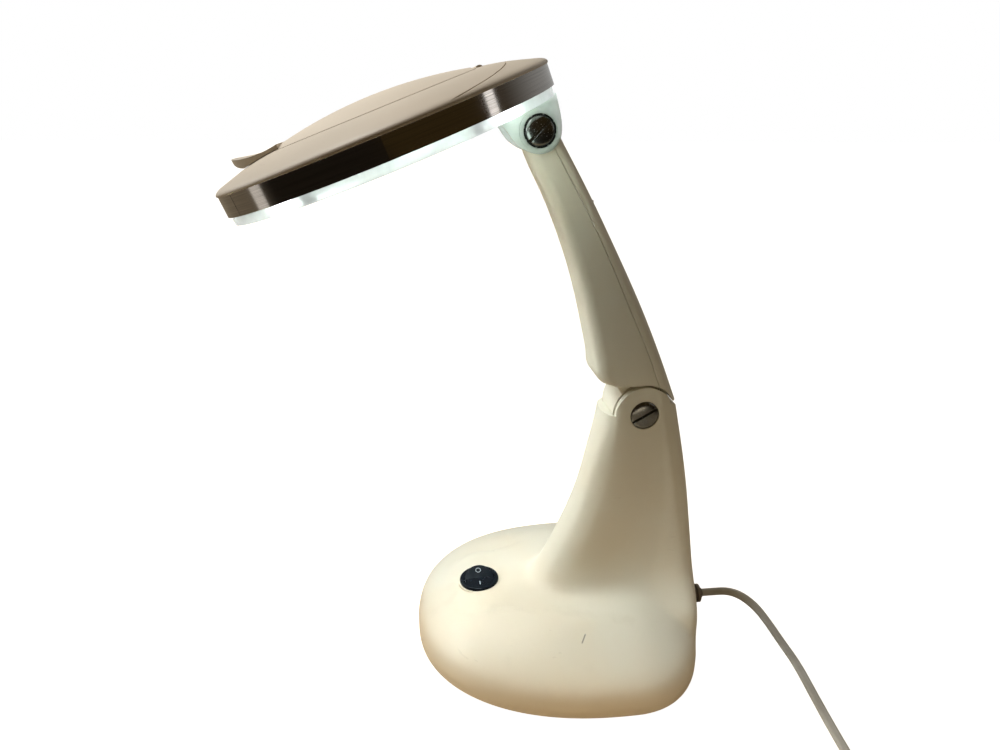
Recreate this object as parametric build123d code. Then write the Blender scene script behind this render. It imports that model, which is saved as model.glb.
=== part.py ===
from build123d import *
import os
from math import atan2, cos, degrees, pi, radians, sin, sqrt, tan

# A free-standing magnifying lamp: a weighted base with its pillar, a folding arm, and a round lit lens
# head with a flip-up lid. Millimetres. +X is across the lamp and along every pivot, -Y is the user's
# side, +Z is up. The origin is on the desk, in the centre plane, at the base's widest section.

# ---------------------------------------------------------------- driving dimensions
# base
BASE_HALF_WIDTH = 84.2
BASE_FRONT = 108.4
BASE_REAR = 54.6
FRONT_POWER = 2.31          # superellipse exponents of the outline's two halves
REAR_POWER = 2.22
PAD_THICKNESS = 1.6
PLATE_THICKNESS = 2.2
BASE_WALL_TOP = 8.0         # the side wall is upright up to here, then rounds over
BASE_CROWN = 31.0
ROUNDING = 46.0             # how far the rounding reaches in from the sides and the front
REAR_ROUNDING = 16.0
WALL = 2.6
BALLAST_THICKNESS = 9.2
BALLAST_INSET = 12.0
# where the base screws stand, and the top of the post that each one bites into
SCREW_POSTS = [(-50.0, -46.0, 27.0), (50.0, -46.0, 27.0), (-60.0, 10.0, 25.6), (60.0, 10.0, 25.6)]

# switch
SWITCH_Y = -72.0
SWITCH_SEAT_Z = 30.6
SWITCH_TILT = 3.0
SWITCH_FLANGE_R = 11.5
SWITCH_BODY_R = 9.9
ROCKER_R = 8.5
ROCKER_THROW = 20.0

# elbow
ELBOW_Y = 17.3
ELBOW_Z = 138.5
CHEEK_R = 16.0
SLOT_HALF = 11.3
SLOT_R = 17.0
KNUCKLE_R = 16.6
BOLT_R = 4.0
BOLT_HEAD_R = 7.8
LIP_Z = 138.2
RUNNING = 0.05              # radial clearance of the running fits

# head
HEAD_Y = -117.0
HEAD_Z = 286.5
HEAD_TILT = 21.46
BAND_R = 82.0
BAND_HEIGHT = 9.6
BAND_THICKNESS = 0.8
SEAM_ANGLE = -56.0
LENS_R = 50.4
LENS_EDGE = 3.0
LENS_MID_H = -7.0
LENS_CURVE_R = 330.0
HOUSING_BOTTOM = -13.8
HOUSING_R = 80.6
LED_CIRCLE_R = 63.0
LED_COUNT = 36
POST_CIRCLE_R = 72.5
POST_COUNT = 6
LID_R = 54.4
LID_CROWN = 15.6
LID_EDGE = 9.1
LID_CHORD = 47.4
RECESS_R = 55.4
SHELF_H = 6.6
GROOVE_HALF_WIDTH = 83.4    # the decorative line across the cover
GROOVE_REACH = 63.5
GROOVE_POWER = 2.25
HINGE_ALONG = 50.4
HINGE_H = 8.1

# head pivot, in the head's own frame: along the tilted plane, and above it
TILT_ALONG = 67.5
TILT_H = -26.7
EAR_INNER = 11.3
EAR_OUTER = 14.0
EAR_BOSS_R = 9.8
TILT_CAP_R = 7.0
TILT_BOLT_R = 3.0
ARM_TIP_R = 9.8
ARM_TIP_HALF = 10.7

# mains lead
GLAND_Z = 7.8
GLAND_NECK_R = 3.6
GLAND_REACH = 14.0          # how far the strain relief stands out of the base
EXIT_Y = BASE_REAR + GLAND_REACH
CORD_R = 2.5
COIL_MEAN_R = 27.4
COIL_HALF_WIDTH = 10.0
COIL_HEIGHT = 9.4
COIL_CENTRE = (172.0, 59.0)
PLUG_LENGTH = 35.0
PLUG_WIDTH = 35.3
PLUG_THICKNESS = 13.7
PIN_SPACING = 18.6

head_frame = Location((0, HEAD_Y, HEAD_Z), (HEAD_TILT, 0, 0))
switch_frame = Location((0, SWITCH_Y, SWITCH_SEAT_Z), (SWITCH_TILT, 0, 0))


# ---------------------------------------------------------------- helpers
def upright(radius, bottom, top, at=(0.0, 0.0)):
    """A cylinder along Z."""
    body = Cylinder(radius, top - bottom, align=(Align.CENTER, Align.CENTER, Align.MIN))
    return Pos(at[0], at[1], bottom) * body


def collar(outer, inner, bottom, top, at=(0.0, 0.0)):
    """A ring about a line along Z."""
    return upright(outer, bottom, top, at) - upright(inner, bottom - 1, top + 1, at)


def crosswise(radius, low_x, high_x, y, z):
    """A cylinder along X."""
    body = Cylinder(radius, high_x - low_x)
    return Pos((low_x + high_x) / 2, y, z) * Rot(0, 90, 0) * body


def block(low, high):
    """A box from its lowest and highest corners."""
    size = [b - a for a, b in zip(low, high)]
    middle = [(a + b) / 2 for a, b in zip(low, high)]
    return Pos(*middle) * Box(*size)


def slab_yz(edges, half):
    """A closed outline in the YZ plane, made as thick as 2 * half across X."""
    return extrude(Plane.YZ * make_face(edges), amount=half, both=True)


def spin(points):
    """A solid of revolution about Z from (radius, height) corners."""
    outline = Polyline(*[(r, 0, z) for r, z in points], close=True)
    return revolve(make_face(outline), Axis.Z, 360)


def around(count, radius, start=0.0):
    """Places evenly spaced on a circle."""
    turns = [2 * pi * k / count + start for k in range(count)]
    return [(radius * cos(turn), radius * sin(turn)) for turn in turns]


# ---------------------------------------------------------------- base
def base_outline(z, sides, front, rear):
    """The base's plan outline at one height, pulled in by the three given amounts."""
    count = 16
    points = []
    for k in range(count):
        turn = 2 * pi * k / count
        forward = sin(turn) < 0
        power = FRONT_POWER if forward else REAR_POWER
        reach = (BASE_FRONT - front) if forward else (BASE_REAR - rear)
        across = abs(cos(turn)) ** (2 / power) * (BASE_HALF_WIDTH - sides)
        along = abs(sin(turn)) ** (2 / power) * reach
        x = across if cos(turn) > 0 else -across
        y = -along if forward else along
        points.append((x, y, z))
    return make_face(Spline(*points, periodic=True))


def base_body(inset, bottom):
    """The rounded base without its pillar, every surface moved in by inset."""
    sections = [base_outline(bottom, inset, inset, inset)]
    sections.append(base_outline(BASE_WALL_TOP, inset, inset, inset))
    for turn in [radians(angle) for angle in (22, 44, 64, 80)]:
        height = BASE_WALL_TOP + (BASE_CROWN - BASE_WALL_TOP - inset) * sin(turn)
        sides = inset + (ROUNDING - inset) * (1 - cos(turn))
        rear = inset + (REAR_ROUNDING - inset) * (1 - cos(turn))
        sections.append(base_outline(height, sides, sides, rear))
    return loft(sections)


# height, front, shoulder, shoulder half width, rear, rear half width
PILLAR_SECTIONS = [
    (27.0, -44.0, -18.0, 29.0, 52.6, 46.0),
    (42.0, -35.0, -14.5, 19.5, 51.9, 32.0),
    (64.0, -24.5, -6.5, 16.6, 50.4, 23.0),
    (94.0, -14.0, 2.0, 15.4, 47.0, 17.4),
    (110.0, -10.6, 4.0, 15.0, 44.2, 16.0),
    (128.0, -6.4, 4.2, 15.0, 40.4, 15.1),
    (158.0, -1.5, 3.6, 15.0, 33.4, 15.0),
]


def pillar_section(row, inset):
    """One level outline of the pillar: a rounded nose, a shoulder, and a wider rounded back."""
    z, front, shoulder, half, rear, rear_half = row
    front += inset
    rear -= inset
    half -= inset
    rear_half -= inset
    right = [
        (0.62 * half, front + 0.26 * (shoulder - front), z),
        (half, shoulder, z),
        ((half + rear_half) / 2, (shoulder + rear) / 2, z),
        (rear_half, rear - 9.0, z),
        (0.8 * rear_half, rear - 1.6, z),
    ]
    left = [(-x, y, z) for x, y, z in reversed(right)]
    return make_face(Spline((0, front, z), *right, (0, rear, z), *left, periodic=True))


def pillar_body(inset, top):
    rows = [row for row in PILLAR_SECTIONS if row[0] <= top]
    return loft([pillar_section(row, inset) for row in rows])


def cheek_outline():
    """What is left of the pillar above the lip: round cheeks and the rear shoulder, seen from the side."""
    below = block((-90, -130, -1), (90, 90, LIP_Z))
    round_top = crosswise(CHEEK_R, -90, 90, ELBOW_Y, ELBOW_Z)
    heel_rest = slab_yz(
        Polyline(
            (ELBOW_Y, LIP_Z - 1), (39.0, LIP_Z - 1), (36.6, 141.6), (33.4, 144.4), (ELBOW_Y, 144.4),
            close=True,
        ),
        90,
    )
    return below + round_top + heel_rest


def make_base_shell():
    outer = (base_body(0, PAD_THICKNESS) + pillar_body(0, 158)) & cheek_outline()
    shell = outer - (base_body(WALL, PAD_THICKNESS - 1) + pillar_body(WALL, 110))
    for x, y, top in SCREW_POSTS:
        shell += upright(5.0, PAD_THICKNESS + PLATE_THICKNESS, top, (x, y))
        shell -= upright(1.5 + RUNNING, 0, 15.0, (x, y))
    shell += switch_frame * upright(12.4, -5.0, 0.0)
    shell -= switch_frame * upright(SWITCH_BODY_R + 0.1, -30.0, 1.0)
    slot = crosswise(SLOT_R, -SLOT_HALF, SLOT_HALF, ELBOW_Y, ELBOW_Z)
    slot += block((-SLOT_HALF, ELBOW_Y - 12, ELBOW_Z + 10), (SLOT_HALF, ELBOW_Y + 9, ELBOW_Z + 30))
    shell -= slot
    shell -= crosswise(BOLT_R + RUNNING, -20, 20, ELBOW_Y, ELBOW_Z)
    for low, high in ((12.9, 20.0), (-20.0, -12.9)):
        shell -= crosswise(BOLT_HEAD_R + 0.25, low, high, ELBOW_Y, ELBOW_Z)
    shell -= upright(3.0, 100.0, 125.0, (0, ELBOW_Y))
    shell -= Pos(0, BASE_REAR, GLAND_Z) * Rot(90, 0, 0) * Cylinder(GLAND_NECK_R, 20)
    return shell


def make_base_plate():
    outline = base_outline(PAD_THICKNESS, WALL + 0.3, WALL + 0.3, WALL + 0.3)
    plate = extrude(outline, amount=PLATE_THICKNESS, dir=(0, 0, 1))
    for at in SCREW_POSTS:
        plate -= upright(2.9, PAD_THICKNESS, PAD_THICKNESS + 1.4, at)
        plate -= upright(1.6, 0, 10, at)
    return plate


def make_pad():
    return extrude(base_outline(0, 1.6, 1.6, 1.6), amount=PAD_THICKNESS, dir=(0, 0, 1))


def make_ballast():
    floor = PAD_THICKNESS + PLATE_THICKNESS
    outline = base_outline(floor, BALLAST_INSET, BALLAST_INSET, BALLAST_INSET)
    weight = extrude(outline, amount=BALLAST_THICKNESS, dir=(0, 0, 1))
    for at in SCREW_POSTS:
        weight -= upright(6.2, 0, 30, at)
    return weight


def make_base_screws():
    screws = []
    for at in SCREW_POSTS:
        head = upright(2.8, PAD_THICKNESS, PAD_THICKNESS + 1.4, at)
        screws.append(head + upright(1.5, PAD_THICKNESS + 1.4, 13.5, at))
    return Compound(children=screws)


def make_led_driver():
    floor = PAD_THICKNESS + PLATE_THICKNESS + BALLAST_THICKNESS
    board = block((-17, -48, floor + 2.0), (17, -8, floor + 3.6))
    for at in [(-14, -45), (14, -45), (-14, -11), (14, -11)]:
        board += upright(2.0, floor, floor + 2.0, at)
    board += block((-8, -26, floor + 3.6), (8, -12, floor + 13.0))
    board += upright(4.0, floor + 3.6, floor + 13.0, (-9, -36))
    board += block((3, -42, floor + 3.6), (13, -33, floor + 8.0))
    return board


# ---------------------------------------------------------------- switch
def make_switch_housing():
    flange = upright(SWITCH_FLANGE_R, 0, 1.7)
    flange = fillet(flange.edges().sort_by(Axis.Z)[-1], 1.0)
    housing = flange + upright(SWITCH_BODY_R, -13.0, 0)
    housing -= upright(ROCKER_R + 0.7, -8.0, 5.0)
    housing -= Rot(90, 0, 0) * Cylinder(1.0 + RUNNING, 2 * (SWITCH_BODY_R - 0.6)) & upright(30, -8, 8)
    for x in (-4.5, 4.5):
        housing += block((x - 0.4, -2.4, -17.0), (x + 0.4, 2.4, -13.0))
    return switch_frame * housing


def make_rocker():
    """Two faces that meet in a shallow valley; at rest the +X face is pressed down level."""
    slope = tan(radians(ROCKER_THROW / 2))
    reach = ROCKER_R + 1
    outline = Polyline(
        (-reach, 0, 1.5 + slope * reach),
        (0, 0, 1.5),
        (reach, 0, 1.5 + slope * reach),
        (4.0, 0, -5.2),
        (-4.0, 0, -5.2),
        close=True,
    )
    rocker = extrude(make_face(outline), amount=ROCKER_R, both=True)
    rocker = rocker & upright(ROCKER_R, -10, 10)
    rocker += Rot(90, 0, 0) * Cylinder(1.0, 2 * (SWITCH_BODY_R - 0.8))
    return switch_frame * Rot(0, ROCKER_THROW / 2, 0) * rocker


# ---------------------------------------------------------------- elbow
def make_elbow_bolt():
    head = crosswise(BOLT_HEAD_R, 12.9, 15.2, ELBOW_Y, ELBOW_Z)
    slot = Pos(15.2, ELBOW_Y, ELBOW_Z) * Rot(-60, 0, 0) * Box(1.8, 1.4, 20)
    return head - slot + crosswise(BOLT_R, -12.9, 12.9, ELBOW_Y, ELBOW_Z)


def make_elbow_nut():
    nut = crosswise(BOLT_HEAD_R, -15.2, -12.9, ELBOW_Y, ELBOW_Z)
    return nut - Pos(-15.2, ELBOW_Y, ELBOW_Z) * Rot(35, 0, 0) * Box(1.8, 1.4, 20)


def make_elbow_washers():
    discs = []
    for low in (-SLOT_HALF, SLOT_HALF - 0.6):
        washer = crosswise(12.0, low, low + 0.6, ELBOW_Y, ELBOW_Z)
        discs.append(washer - crosswise(BOLT_R + RUNNING, -20, 20, ELBOW_Y, ELBOW_Z))
    return Compound(children=discs)


# ---------------------------------------------------------------- arm
TIP_Y = HEAD_Y + TILT_ALONG * cos(radians(HEAD_TILT)) - TILT_H * sin(radians(HEAD_TILT))
TIP_Z = HEAD_Z + TILT_ALONG * sin(radians(HEAD_TILT)) + TILT_H * cos(radians(HEAD_TILT))
ARM_CLEAR_R = SLOT_R + 0.4


# the arm's back line from the heel up, its front line from the head down, and its flat underside
ARM_BACK = [(35.4, 145.9), (25.8, 169.3), (13.3, 197.4), (-3.9, 231.7), (-21.0, 263.6), (-32.4, 283.0)]
ARM_FRONT = [
    (-51.6, 282.0), (-49.4, 276.0), (-36.7, 250.0), (-24.6, 219.0), (-14.8, 184.0), (-11.3, 169.0),
    (-8.0, 158.8),
]
CHIN_Y = -2.0
ARM_UNDERSIDE_Z = 155.6


def arm_outline(inset):
    """The arm seen from the side: concave front, straighter back, a chin, and a heel over the cheeks."""
    back_points = [(y - inset, z - 0.4 * inset) for y, z in ARM_BACK]
    front_points = [(y + inset, z) for y, z in ARM_FRONT]
    front_points.append((CHIN_Y + inset, ARM_UNDERSIDE_Z + inset))
    back = Spline(*back_points)
    front = Spline(*front_points)
    bottom = Line(front_points[-1], back_points[0])
    top = Line(back_points[-1], front_points[0])
    return [back, top, front, bottom]


def arm_width(inset):
    """The arm seen from the front."""
    i = inset
    right = [(15.0 - i, 130), (15.0 - i, 178), (13.6 - i, 212), (12.0 - i, 244), (ARM_TIP_HALF - i, 266),
             (ARM_TIP_HALF - i, 300)]
    left = [(-x, z) for x, z in reversed(right)]
    face = Plane.XZ * make_face(Polyline(*right, *left, close=True))
    return extrude(face, amount=120, both=True)


def arm_block(inset):
    return slab_yz(arm_outline(inset), 20) & arm_width(inset)


def back_region():
    """Everything behind the line where the back cover meets the arm."""
    joint = Spline((-38.8, 282.5), (-36.0, 277.7), (-23.8, 256.6), (-9.4, 229.4), (5.4, 197.9),
                   (17.0, 172.8), (25.4, 152.0))
    far = Polyline((25.4, 152.0), (31.0, 130.0), (90.0, 130.0), (90.0, 320.0), (-30.0, 320.0), (-38.8, 282.5))
    return slab_yz([joint, far], 30)


def make_arm_parts():
    outer = arm_block(0)
    tip = crosswise(ARM_TIP_R, -ARM_TIP_HALF, ARM_TIP_HALF, TIP_Y, TIP_Z)
    cavity = arm_block(WALL) - block((-30, -80, 266.0), (30, 0, 320))
    clear = crosswise(ARM_CLEAR_R, -40, 40, ELBOW_Y, ELBOW_Z)
    mouth = block((-SLOT_HALF + 0.4, -1.5, 130.0), (SLOT_HALF - 0.4, 28.0, 162.0))
    walls = outer - cavity - clear - mouth
    region = back_region()
    cover = (walls & region) - crosswise(ARM_TIP_R, -30, 30, TIP_Y, TIP_Z)
    shell = (walls - region) + tip
    shell -= crosswise(TILT_BOLT_R + RUNNING, -20, 20, TIP_Y, TIP_Z)
    return largest(shell), largest(cover)


def largest(shape):
    return max(shape.solids(), key=lambda solid: solid.volume)


def make_elbow_knuckle():
    drum = crosswise(KNUCKLE_R, -SLOT_HALF + 0.65, SLOT_HALF - 0.65, ELBOW_Y, ELBOW_Z)
    neck = slab_yz(
        Polyline(
            (5.4, 149.2), (26.0, 148.0), (24.5, 156.0), (12.0, 184.0), (-7.5, 184.0), (0.8, 156.6), close=True
        ),
        SLOT_HALF - 1.2,
    )
    knuckle = drum + neck
    knuckle -= crosswise(BOLT_R + RUNNING, -20, 20, ELBOW_Y, ELBOW_Z)
    return knuckle


# where the back cover's screws stand: a point on the cover's outside, at these heights
ARM_SCREW_HEIGHTS = [176.0, 250.0]


def back_y(z):
    """The arm's back line at a height, straight between its ends and measured points."""
    for (y0, z0), (y1, z1) in zip(ARM_BACK, ARM_BACK[1:]):
        if z0 <= z <= z1:
            return y0 + (y1 - y0) * (z - z0) / (z1 - z0)
    raise ValueError(z)


ARM_LEAN = degrees(atan2(ARM_BACK[1][0] - ARM_BACK[4][0], ARM_BACK[4][1] - ARM_BACK[1][1]))


def arm_screw_place(z):
    """On the arm's back, its Z axis pointing into the arm."""
    return Pos(0, back_y(z), z) * Rot(90 - ARM_LEAN, 0, 0)


def make_arm_screws():
    screws = []
    for z in ARM_SCREW_HEIGHTS:
        screw = upright(2.4, 0.6, 2.0) + upright(1.2, 2.0, 9.0)
        screws.append(arm_screw_place(z) * screw)
    return Compound(children=screws)


# ---------------------------------------------------------------- head
def ear_outline():
    return [
        Spline(
            (46.0, HOUSING_BOTTOM), (52.6, -20.0), (54.4, -26.5), (57.4, -31.8), (63.6, -36.6), (70.0, -37.2),
            (75.4, -34.0), (78.2, -28.6), (79.6, -21.4), (80.4, HOUSING_BOTTOM),
        ),
        Line((80.4, HOUSING_BOTTOM), (46.0, HOUSING_BOTTOM)),
    ]


def make_lens_housing():
    floor = HOUSING_BOTTOM + 2.0
    ring = collar(HOUSING_R, 52.6, HOUSING_BOTTOM, floor)
    ring += collar(HOUSING_R, HOUSING_R - 2.4, floor - 0.5, -0.6)
    ring += collar(52.8, LENS_R + 0.1, HOUSING_BOTTOM, -3.6)
    ring += collar(LENS_R + 0.6, 48.6, -10.4, LENS_MID_H - LENS_EDGE / 2 - 0.3)
    for at in around(POST_COUNT, POST_CIRCLE_R, pi / 6):
        ring += upright(3.6, floor - 0.5, -7.0, at)
        ring -= upright(2.9, HOUSING_BOTTOM - 1, HOUSING_BOTTOM + 1.6, at)
        ring -= upright(1.6, HOUSING_BOTTOM - 1, 0, at)
    for side in (-1, 1):
        near, far = sorted((side * EAR_INNER, side * EAR_OUTER))
        ear = Pos((near + far) / 2, 0, 0) * slab_yz(ear_outline(), (far - near) / 2)
        boss_low, boss_high = sorted((side * EAR_OUTER, side * (EAR_OUTER + 1.2)))
        ear += crosswise(EAR_BOSS_R, boss_low, boss_high, TILT_ALONG, TILT_H)
        well_low, well_high = sorted((side * 12.7, side * 20))
        ear -= crosswise(TILT_CAP_R + 0.9, well_low, well_high, TILT_ALONG, TILT_H)
        ear -= crosswise(TILT_BOLT_R + RUNNING, side * 12 - 9, side * 12 + 9, TILT_ALONG, TILT_H)
        ring += ear
    ring += block((-EAR_INNER, 77.6, -19.6), (EAR_INNER, 79.6, HOUSING_BOTTOM))
    return head_frame * ring


def make_tilt_rings():
    """Dark toothed spring rings round the caps, one in each ear."""
    rings = []
    for side in (-1, 1):
        low, high = sorted((side * 12.7, side * 14.6))
        band = crosswise(TILT_CAP_R + 0.85, low, high, TILT_ALONG, TILT_H)
        band -= crosswise(TILT_CAP_R + 0.05, -20, 20, TILT_ALONG, TILT_H)
        for turn in range(8):
            notch = Rot(45 * turn + 12, 0, 0) * Pos(0, 0, TILT_CAP_R + 1.0) * Box(50, 1.0, 1.2)
            band -= Pos(0, TILT_ALONG, TILT_H) * notch
        rings.append(band)
    return head_frame * Compound(children=rings)


def make_tilt_bolt():
    head = crosswise(TILT_CAP_R, 12.7, 15.0, TILT_ALONG, TILT_H)
    slot = Pos(15.0, TILT_ALONG, TILT_H) * Rot(-66, 0, 0) * Box(1.6, 1.2, 20)
    return head_frame * (head - slot + crosswise(TILT_BOLT_R, -12.7, 12.7, TILT_ALONG, TILT_H))


def make_tilt_nut():
    nut = crosswise(TILT_CAP_R, -15.0, -12.7, TILT_ALONG, TILT_H)
    slot = Pos(-15.0, TILT_ALONG, TILT_H) * Rot(20, 0, 0) * Box(1.6, 1.2, 20)
    return head_frame * (nut - slot)


def make_tilt_washers():
    discs = []
    for low in (-EAR_INNER, EAR_INNER - 0.55):
        washer = crosswise(8.5, low, low + 0.55, TILT_ALONG, TILT_H)
        discs.append(washer - crosswise(TILT_BOLT_R + RUNNING, -20, 20, TILT_ALONG, TILT_H))
    return head_frame * Compound(children=discs)


def make_trim_band():
    band = collar(BAND_R, BAND_R - BAND_THICKNESS, -BAND_HEIGHT, -0.05)
    seam = Rot(0, 0, SEAM_ANGLE) * block((BAND_R - 3, -0.15, -20), (BAND_R + 3, 0.15, 5))
    return head_frame * (band - seam)


def groove_outline(outset):
    """The decorative line across the rear of the head cover: half of a superellipse."""
    half_width = GROOVE_HALF_WIDTH + outset
    reach = GROOVE_REACH + outset
    points = []
    for k in range(40):
        turn = 2 * pi * k / 40
        across = abs(cos(turn)) ** (2 / GROOVE_POWER) * half_width
        along = abs(sin(turn)) ** (2 / GROOVE_POWER) * reach
        points.append((across if cos(turn) > 0 else -across, along if sin(turn) > 0 else -along))
    return make_face(Spline(*points, periodic=True))


def make_top_cover():
    crown = Spline((82.3, 0, 0), (82.6, 0, 0.6), (82.2, 0, 1.5), (81.0, 0, 2.4), (77.0, 0, 3.8),
                   (66.0, 0, 6.8), (58.0, 0, 8.5), (50.9, 0, 9.5))
    underside = Polyline((50.9, 0, 9.5), (50.9, 0, -3.4), (52.8, 0, -3.4), (52.8, 0, 4.8), (65.0, 0, 4.5),
                         (76.0, 0, 2.0), (78.6, 0, 1.3), (78.6, 0, 0), (82.3, 0, 0))
    cover = revolve(make_face([crown, underside]), Axis.Z, 360)
    recess = upright(RECESS_R, SHELF_H, 20) - block((-90, LID_CHORD + 0.7, 0), (90, 90, 30))
    cover -= recess
    cover -= block((-18.4, LID_CHORD, SHELF_H - 1.4), (18.4, HINGE_ALONG + 3.2, 20))
    for side in (-1, 1):
        near, far = sorted((side * 12.4, side * 18.4))
        cover += block((near, HINGE_ALONG - 2.4, 4.8), (far, HINGE_ALONG + 3.4, HINGE_H))
        cover += crosswise(2.0, near, far, HINGE_ALONG, HINGE_H)
    cover -= crosswise(1.25, -19, 19, HINGE_ALONG, HINGE_H)
    for at in around(POST_COUNT, POST_CIRCLE_R, pi / 6):
        cover += upright(3.2, -5.4, 3.4, at)
        cover -= upright(1.5 + RUNNING, -6, 2.0, at)
    groove = extrude(groove_outline(0.35) - groove_outline(-0.35), amount=20)
    groove &= block((-90, -14, 0), (90, 90, 30))
    lowered = spin([
        (0, 20), (0, 9.0), (58.0, 8.1), (66.0, 6.4), (77.0, 3.4), (81.0, 2.0), (90.0, 1.8), (90.0, 20),
    ])
    return head_frame * (cover - (groove & lowered))


def lens_solid():
    """Two spherical faces and a short upright edge."""
    reach = sqrt(LENS_CURVE_R ** 2 - LENS_R ** 2)
    upper = LENS_MID_H + LENS_EDGE / 2 - reach
    lower = LENS_MID_H - LENS_EDGE / 2 + reach
    body = upright(LENS_R, LENS_MID_H - 20, LENS_MID_H + 20)
    return (body & Pos(0, 0, upper) * Sphere(LENS_CURVE_R)) & Pos(0, 0, lower) * Sphere(LENS_CURVE_R)


def make_lens_ring():
    bottom = LENS_MID_H + LENS_EDGE / 2 + 0.45
    return head_frame * collar(LENS_R, 47.6, bottom, bottom + 1.4)


def make_led_board():
    board = collar(75.8, 54.5, -7.0, -5.4)
    for at in around(POST_COUNT, POST_CIRCLE_R, pi / 6):
        board -= upright(1.6, -10, 0, at)
    return head_frame * board


def make_leds():
    chips = []
    for k in range(LED_COUNT):
        chip = Rot(0, 0, 360 * k / LED_COUNT) * Pos(LED_CIRCLE_R, 0, -7.5) * Box(2.8, 3.5, 1.0)
        chips.append(chip)
    return head_frame * Compound(children=chips)


def make_head_screws():
    screws = []
    for at in around(POST_COUNT, POST_CIRCLE_R, pi / 6):
        head = upright(2.7, HOUSING_BOTTOM + 0.2, HOUSING_BOTTOM + 1.6, at)
        screws.append(head + upright(1.5, HOUSING_BOTTOM + 1.6, 1.0, at))
    return head_frame * Compound(children=screws)


def make_hinge_pin():
    return head_frame * crosswise(1.2, -18.2, 18.2, HINGE_ALONG, HINGE_H)


# ---------------------------------------------------------------- lid
def make_lid():
    rise = LID_CROWN - LID_EDGE
    curve_r = (LID_R ** 2 + rise ** 2) / (2 * rise)
    dome = upright(LID_R, SHELF_H + 0.1, 30) & Pos(0, 0, LID_CROWN - curve_r) * Sphere(curve_r)
    inside = upright(LID_R - 4.0, 0, 30) & Pos(0, 0, LID_CROWN - 2.2 - curve_r) * Sphere(curve_r)
    lid = dome - inside - block((-90, LID_CHORD, 0), (90, 90, 30))
    tab_side = [
        Spline((-44.0, 11.3), (-52.0, 10.5), (-60.0, 10.8), (-66.0, 11.7), (-70.0, 12.8)),
        Line((-70.0, 12.8), (-69.7, 12.1)),
        Spline((-69.7, 12.1), (-68.6, 10.0), (-66.4, 8.2), (-63.0, 7.0)),
        Line((-63.0, 7.0), (-44.0, 7.0)),
        Line((-44.0, 7.0), (-44.0, 11.3)),
    ]
    tab_plan = [
        Spline((31.0, -44.0), (27.0, -51.0), (22.0, -59.0), (17.0, -65.0), (0.0, -70.0), (-17.0, -65.0),
               (-22.0, -59.0), (-27.0, -51.0), (-31.0, -44.0)),
        Line((-31.0, -44.0), (31.0, -44.0)),
    ]
    tab = slab_yz(tab_side, 32) & extrude(make_face(tab_plan), amount=30)
    above_cover = spin([
        (0, 30), (0, 7.4), (54.6, 7.4), (54.6, 9.4), (58.0, 8.8), (66.0, 7.1), (77.0, 4.1), (90, 3.9),
        (90, 30),
    ])
    lid += tab & above_cover
    tongue = block((-11.8, LID_CHORD - 2.0, HINGE_H - 1.2), (11.8, HINGE_ALONG, HINGE_H + 1.4))
    lid += tongue + crosswise(2.0, -11.8, 11.8, HINGE_ALONG, HINGE_H)
    lid -= crosswise(1.2 + RUNNING, -19, 19, HINGE_ALONG, HINGE_H)
    return head_frame * lid


# ---------------------------------------------------------------- mains lead
# the route of the lead from the gland to the coil
ROUTE = [
    (0.0, EXIT_Y, GLAND_Z),
    (0.0, 77.0, GLAND_Z),
    (2.6, 85.6, 9.4),
    (8.6, 92.4, 9.2),
    (18.0, 97.6, 7.0),
    (29.0, 100.2, 3.9),
    (42.0, 101.4, 2.6),
    (60.0, 101.4, 2.6),
    (80.0, 98.8, 2.6),
    (105.0, 95.8, 2.6),
    (132.0, 93.4, 2.6),
    (160.0, 93.9, 2.6),
]

# the lead's last stretch, from the coil's outer turn up to the plug
TAIL_Y = COIL_CENTRE[1] + COIL_MEAN_R + COIL_HALF_WIDTH - CORD_R
PLUG_LEAD = [
    (COIL_CENTRE[0] + 8.0, TAIL_Y, 7.4),
    (COIL_CENTRE[0] + 20.0, TAIL_Y, 5.4),
    (COIL_CENTRE[0] + 32.0, TAIL_Y, PLUG_THICKNESS / 2),
    (COIL_CENTRE[0] + 44.0, TAIL_Y, PLUG_THICKNESS / 2),
]


def corner_radii(points):
    """The largest comfortable arc at each inner point of a route."""
    radii = []
    for before, here, after in zip(points, points[1:], points[2:]):
        run_in = Vector(*here) - Vector(*before)
        run_out = Vector(*after) - Vector(*here)
        turn = radians(run_in.get_angle(run_out))
        radii.append(0.45 * min(run_in.length, run_out.length) / tan(turn / 2))
    return radii


def make_cord():
    radii = corner_radii(ROUTE)
    path = FilletPolyline(*ROUTE, radius=radii)
    section = Plane(origin=ROUTE[0], z_dir=Vector(*ROUTE[1]) - Vector(*ROUTE[0])) * Circle(CORD_R)
    tube = sweep(section, path=path)
    expected = pi * CORD_R ** 2 * path.length
    print("cord radii", [round(radius, 1) for radius in radii])
    print("cord length", round(path.length, 1), "volume ratio", round(tube.volume / expected, 4))
    return tube


def make_coil():
    inner = COIL_MEAN_R - COIL_HALF_WIDTH
    outer = COIL_MEAN_R + COIL_HALF_WIDTH
    ring = collar(outer, inner, 0, COIL_HEIGHT)
    return Pos(COIL_CENTRE[0], COIL_CENTRE[1], 0) * chamfer(ring.edges(), 1.2)


def make_gland():
    neck = Pos(0, BASE_REAR - WALL, GLAND_Z) * Rot(-90, 0, 0)
    gland = upright(GLAND_NECK_R - 0.05, -0.6, 4.0)
    gland += upright(GLAND_NECK_R + 0.3, -2.4, -0.5)
    taper = GLAND_REACH + WALL - 3.0
    gland += Pos(0, 0, 3.0) * Cone(4.4, 3.0, taper, align=(Align.CENTER, Align.CENTER, Align.MIN))
    for along in (8.2, 11.4):
        gland += upright(5.6, along + WALL - 0.9, along + WALL + 0.9)
    return neck * gland


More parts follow.
